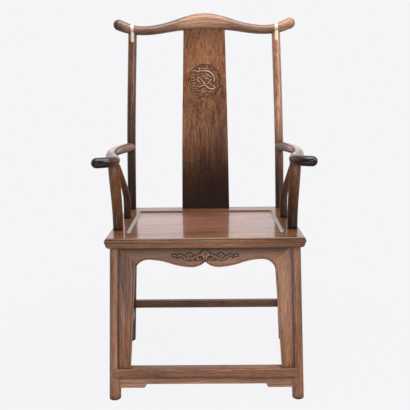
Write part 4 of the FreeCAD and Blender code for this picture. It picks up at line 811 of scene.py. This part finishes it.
# The splat's own curve behind the roundel: how its face lies at each height
heights = np.linspace(-0.06, 0.06, 49)
fronts = [
    met(splat_face, (0, -OUTSIDE, ROUNDEL_HEIGHT + height), (0, 1, 0)).y for height in heights
]
face_curve = np.polyfit(heights, fronts, 4)
shape = bmesh.new()
spoke = [shape.verts.new((r, 0, 0)) for r in np.linspace(0, ROUNDEL_RADIUS, 112)]
for inner, outer in zip(spoke, spoke[1:]):
    shape.edges.new((inner, outer))
bmesh.ops.spin(
    shape, geom=shape.verts[:] + shape.edges[:], cent=(0, 0, 0), axis=(0, 0, 1),
    angle=math.tau, steps=560, use_merge=True,
)
bmesh.ops.remove_doubles(shape, verts=shape.verts, dist=0.001)
places = np.array([(v.co.x, v.co.y) for v in shape.verts])
spots = places / ROUNDEL_SPREAD
out = np.hypot(spots[:, 0], spots[:, 1])
body, _ = relief(spots, DRAGON, DRAGON_RISE)
cloud, _ = relief(spots, [(points, CLOUD_HALF_WIDTH) for points in CLOUDS], CLOUD_RISE)
rim = RIM_RISE * np.sqrt(np.clip(1 - ((out - RIM_RADIUS) / RIM_HALF_WIDTH) ** 2, 0, 1))
rise = np.maximum.reduce((body, cloud, rim))
# The ground is deepest near its edge and keeps the marks of the chisel
ripple = 0.12 * np.sin(spots[:, 0] * 2.1 + np.sin(spots[:, 1] * 1.7)) * np.sin(spots[:, 1] * 2.3)
ground = 2.4 - 0.25 * np.cos(out / ROUNDEL_RADIUS * math.pi / 2) + ripple
sunk = ground * (1 - steps_between(out, *GROUND_EDGE))
wear_and_painted_light = shape.verts.layers.float.new("wear_and_painted_light")
for vert, (x, z), down, up in zip(shape.verts, places, sunk, rise):
    front = np.polyval(face_curve, z / 1000)
    vert.co = (x / 1000, front + (down - up) / 1000, ROUNDEL_HEIGHT + z / 1000)
    vert[wear_and_painted_light] = 0.5 if math.hypot(x, z) > CARVED_RADIUS else wear(down, up, 2.5, 2.0)
backed(shape, lambda level: np.polyval(face_curve, level - ROUNDEL_HEIGHT) + ROUNDEL_RECESS)
roundel = finished("splat_roundel", shape, roundel_wood, 60)
cutter = bmesh.new()
bmesh.ops.create_cone(
    cutter, cap_ends=True, cap_tris=False, segments=280, radius1=ROUNDEL_RADIUS / 1000,
    radius2=ROUNDEL_RADIUS / 1000, depth=0.1, matrix=Matrix.Rotation(math.pi / 2, 4, "X"),
)
for vert in cutter.verts:
    reach = ROUNDEL_RECESS if vert.co.y > 0 else -0.05
    vert.co.y = np.polyval(face_curve, vert.co.z) + reach
    vert.co.z += ROUNDEL_HEIGHT
splat_board = recessed("splat_board", "splat", cutter, splat_wood)
# The front keeps the smooth shading of its S, also around the cut
front_places = [
    place for level in np.linspace(0.52, 1.16, 161)
    if (place := met(splat_face, (0.02, -OUTSIDE, level), (0, 1, 0)))
]
levels = np.array([place.z for place in front_places])
slopes = np.gradient(np.array([place.y for place in front_places]), levels)
mesh = splat_board.data
smooth = [corner.vector.copy() for corner in mesh.corner_normals]
for face in mesh.polygons:
    if face.normal.y < -0.8:
        for corner in face.loop_indices:
            level = mesh.vertices[mesh.loops[corner].vertex_index].co.z
            slope = np.interp(level, levels, slopes)
            smooth[corner] = Vector((0, -1, slope)).normalized()
mesh.normals_split_custom_set(smooth)

# Crest rail
# A yoke carved from one thick piece: a broad headrest in the middle, thin shoulders, and tips
# that rise past the posts.

# Painted light: lighter shades, the headrest left pale as a painted highlight, and painted shade on
# the shoulders and tips, darkest at the left tip
crest_wood = rosewood(
    "waxed_rosewood_crest", "X", (0.0, 0.30, 1.10), shades=LIT_SHADES, wax_weight=0.8, wax=0.12,
    stain_and_shade=(
        "X", (-0.322, 0.95), (-0.298, 0.8), (-0.272, 0.4), (-0.24, 0.74), (-0.10, 0.72),
        (-0.045, 0.0), (0.045, 0.0), (0.10, 0.70), (0.23, 0.68), (0.26, 0.0), (0.30, 0.0),
        (0.322, 0.55),
    ),
)
dress(crest_wood, "crest_rail")

# Metal straps
# Thin straps of white brass over the joints of crest rail and posts, each held by small nails.

brass = bpy.data.materials.new("rubbed_white_brass")
brass.use_nodes = True
tree = brass.node_tree
tree.nodes.clear()
spot = put(tree, "ShaderNodeTexCoord").outputs["Object"]
# Rubbed spots of about 2 mm
rubbed = put(
    tree, "ShaderNodeTexNoise", {"Vector": spot, "Scale": 420.0, "Detail": 4.0, "Roughness": 0.6}
).outputs["Fac"]
tone = stops(
    put(tree, "ShaderNodeValToRGB", {"Fac": rubbed}),
    [(0.3, "#a8997f"), (0.5, "#d8ccba"), (0.7, "#efe6da")],
)
dullness = put(
    tree, "ShaderNodeMapRange",
    {"Value": rubbed, "From Min": 0.3, "From Max": 0.7, "To Min": 0.6, "To Max": 0.45},
).outputs["Result"]
shader = put(
    tree, "ShaderNodeBsdfPrincipled", {"Base Color": tone, "Metallic": 0.7, "Roughness": dullness}
).outputs["BSDF"]
put(tree, "ShaderNodeOutputMaterial", {"Surface": shader})
dress(brass, "crest_strap_left", "crest_strap_right", "strap_nails")

# Arms, goosenecks, side posts and brackets
# Round sticks bent by the saw, not by steam. The arms' front ends are dark from hands and from a
# painted reflection of the dark room, and bright from hands.

# The front ends go near black: darkened by hands, and a painted reflection of the dark room in
# front
arm_wood = rosewood(
    "waxed_rosewood_arms", "Y", (0.36, 0.0, 0.70), streaks=0.6, rings=0.05, wax=0.06,
    wax_weight=0.7,
    stain_and_shade=("Y", (-0.262, 1.0), (-0.240, 0.98), (-0.198, 0.7), (-0.158, 0.5), (0.17, 0.35)),
)
dress(arm_wood, "armrest_left", "armrest_right")
neck_wood = rosewood(
    "waxed_rosewood_necks", "Z", (0.10, -0.22, 0.6), shades=WARM_SHADES, wax=0.09,
    stain_and_shade=("Z", (0.50, 0.90), (0.59, 0.66), (0.67, 0.3), (0.72, 0.5)),
)
dress(neck_wood, "gooseneck_left")
# The right gooseneck, the side posts and the brackets are darker than the left gooseneck
dark_neck_wood = rosewood(
    "waxed_rosewood_dark_neck", "Z", (0.42, -0.25, 0.6), shades=WARM_SHADES, wax=0.09,
    stain_and_shade=("Z", (0.50, 0.95), (0.59, 0.85), (0.67, 0.66), (0.72, 0.74)),
)
dress(
    dark_neck_wood, "gooseneck_right", "side_post_left", "side_post_right", "arm_spandrel_left",
    "arm_spandrel_right",
)

# Floor, lights and camera
# A plain pale studio: a white floor, softboxes above and around, and a camera that stands where
# the picture was taken.

BACKGROUND = "#f5f5f7"
STUDIO_REACH = 9.0
floor_mesh = bpy.data.meshes.new("studio_floor")
shape = bmesh.new()
bmesh.ops.create_grid(shape, x_segments=1, y_segments=1, size=STUDIO_REACH)
shape.to_mesh(floor_mesh)
shape.free()
floor = bpy.data.objects.new("studio_floor", floor_mesh)
bpy.context.scene.collection.objects.link(floor)


def seen_rays(tree):
    """Whether a ray is the camera's own, and whether it is that, a mirrored or a passing one."""
    ray = put(tree, "ShaderNodeLightPath")
    gloss = put(
        tree, "ShaderNodeMath",
        {0: ray.outputs["Is Glossy Ray"], 1: ray.outputs["Is Transmission Ray"]},
        operation="MAXIMUM",
    ).outputs["Value"]
    every = put(
        tree, "ShaderNodeMath", {0: ray.outputs["Is Camera Ray"], 1: gloss}, operation="MAXIMUM"
    ).outputs["Value"]
    return ray.outputs["Is Camera Ray"], every


def mirrored_level(tree, along, levels):
    """Full strength for the camera. In the chair's gloss the studio is dim towards the front:
    levels are a start and an end along the depth, then the strengths there."""
    camera_ray, every = seen_rays(tree)
    start, end, dim, full = levels
    level = put(
        tree, "ShaderNodeMapRange",
        {"Value": along, "From Min": start, "From Max": end, "To Min": dim, "To Max": full},
        interpolation_type="SMOOTHSTEP",
    ).outputs["Result"]
    level = put(
        tree, "ShaderNodeMath", {0: level, 1: camera_ray}, operation="MAXIMUM"
    ).outputs["Value"]
    return level, every


paper = bpy.data.materials.new("white_studio_paper")
paper.use_nodes = True
tree = paper.node_tree
tree.nodes.clear()
place = put(tree, "ShaderNodeTexCoord").outputs["Object"]
level, seen = mirrored_level(
    tree, put(tree, "ShaderNodeSeparateXYZ", {"Vector": place}).outputs["Y"], (-0.9, 0.4, 0.25, 0.5)
)
lit = put(tree, "ShaderNodeBsdfDiffuse", {"Color": shade("#f4f4f5")}).outputs["BSDF"]
glow = put(
    tree, "ShaderNodeEmission", {"Color": shade(BACKGROUND), "Strength": level}
).outputs["Emission"]
# Near the feet the paper shows a little of their shadow
far = put(tree, "ShaderNodeVectorMath", {0: place}, operation="LENGTH").outputs["Value"]
blank = put(
    tree, "ShaderNodeMapRange",
    {"Value": far, "From Min": 0.55, "From Max": 1.1, "To Min": 0.975, "To Max": 1.0},
    interpolation_type="SMOOTHSTEP",
).outputs["Result"]
looks = put(tree, "ShaderNodeMixShader", {0: blank, 1: lit, 2: glow}).outputs["Shader"]
both = put(tree, "ShaderNodeMixShader", {0: seen, 1: lit, 2: looks}).outputs["Shader"]
put(tree, "ShaderNodeOutputMaterial", {"Surface": both})
floor_mesh.materials.append(paper)

world = bpy.data.worlds.new("white_studio")
bpy.context.scene.world = world
world.use_nodes = True
tree = world.node_tree
tree.nodes.clear()
toward = put(tree, "ShaderNodeTexCoord").outputs["Generated"]
level, seen = mirrored_level(
    tree, put(tree, "ShaderNodeSeparateXYZ", {"Vector": toward}).outputs["Y"],
    (-0.6, 0.35, 0.05, 0.95),
)
fill = put(
    tree, "ShaderNodeBackground", {"Color": shade("#ffffff"), "Strength": 0.10}
).outputs["Background"]
white = put(
    tree, "ShaderNodeBackground", {"Color": shade(BACKGROUND), "Strength": level}
).outputs["Background"]
sky = put(tree, "ShaderNodeMixShader", {0: seen, 1: fill, 2: white}).outputs["Shader"]
put(tree, "ShaderNodeOutputWorld", {"Surface": sky})


def softbox(name, place, aim, width, height, brightness):
    """A soft studio lamp. Its power comes from the brightness that its face shows."""
    lamp = bpy.data.lights.new(name, "AREA")
    lamp.shape = "RECTANGLE"
    lamp.size, lamp.size_y = width, height
    lamp.energy = brightness * math.pi * width * height
    hung = bpy.data.objects.new(name, lamp)
    bpy.context.scene.collection.objects.link(hung)
    turn = (Vector(aim) - Vector(place)).to_track_quat("-Z", "Y").to_matrix().to_4x4()
    hung.matrix_world = Matrix.Translation(place) @ turn
    hung.visible_camera = False
    return hung


softbox("overhead_softbox", (0.2, -0.45, 2.6), (0.0, 0.05, 0.7), 1.8, 1.2, 6.0)
softbox("right_high_softbox", (1.3, -0.95, 1.75), (0.2, 0.2, 0.95), 0.9, 1.1, 5.0)
softbox("front_softbox", (-0.3, -3.0, 1.4), (0.0, 0.0, 0.45), 1.3, 1.0, 4.2)
softbox("front_floor_bounce", (0.0, -1.05, 0.05), (0.0, -0.25, 0.3), 1.8, 0.5, 1.75)
softbox("left_softbox", (-2.3, -0.3, 1.1), (0.0, 0.0, 0.6), 1.4, 1.2, 0.35)
softbox("rear_softbox", (0.0, 2.4, 1.6), (0.0, 0.0, 0.6), 1.6, 1.2, 0.65)
# It lights the back without a second mirrored lamp on the seat
softbox("rear_fill", (0.0, 2.4, 1.6), (0.0, 0.0, 0.6), 1.6, 1.2, 1.2).visible_glossy = False

# Fitted to the picture: metres, then radians to the side, downward and round the view
CAMERA_PLACE = Vector((0.0161, -1.8949, 0.9283))
TURN, TILT, ROLL = -0.009071603, 0.194176293, 0.010337888
across = Vector((math.cos(TURN), -math.sin(TURN), 0))
up = Vector((math.sin(TURN) * math.sin(TILT), math.cos(TURN) * math.sin(TILT), math.cos(TILT)))
look = Vector((math.sin(TURN) * math.cos(TILT), math.cos(TURN) * math.cos(TILT), -math.sin(TILT)))
lens = bpy.data.cameras.new("product_camera")
lens.sensor_width = 36
lens.lens = 51.11
camera = bpy.data.objects.new("product_camera", lens)
bpy.context.scene.collection.objects.link(camera)
side = across * math.cos(ROLL) - up * math.sin(ROLL)
top = across * math.sin(ROLL) + up * math.cos(ROLL)
turn = Matrix((side, top, -look)).transposed().to_4x4()
camera.matrix_world = Matrix.Translation(CAMERA_PLACE) @ turn
bpy.context.scene.camera = camera
bpy.context.scene.view_settings.view_transform = "Standard"
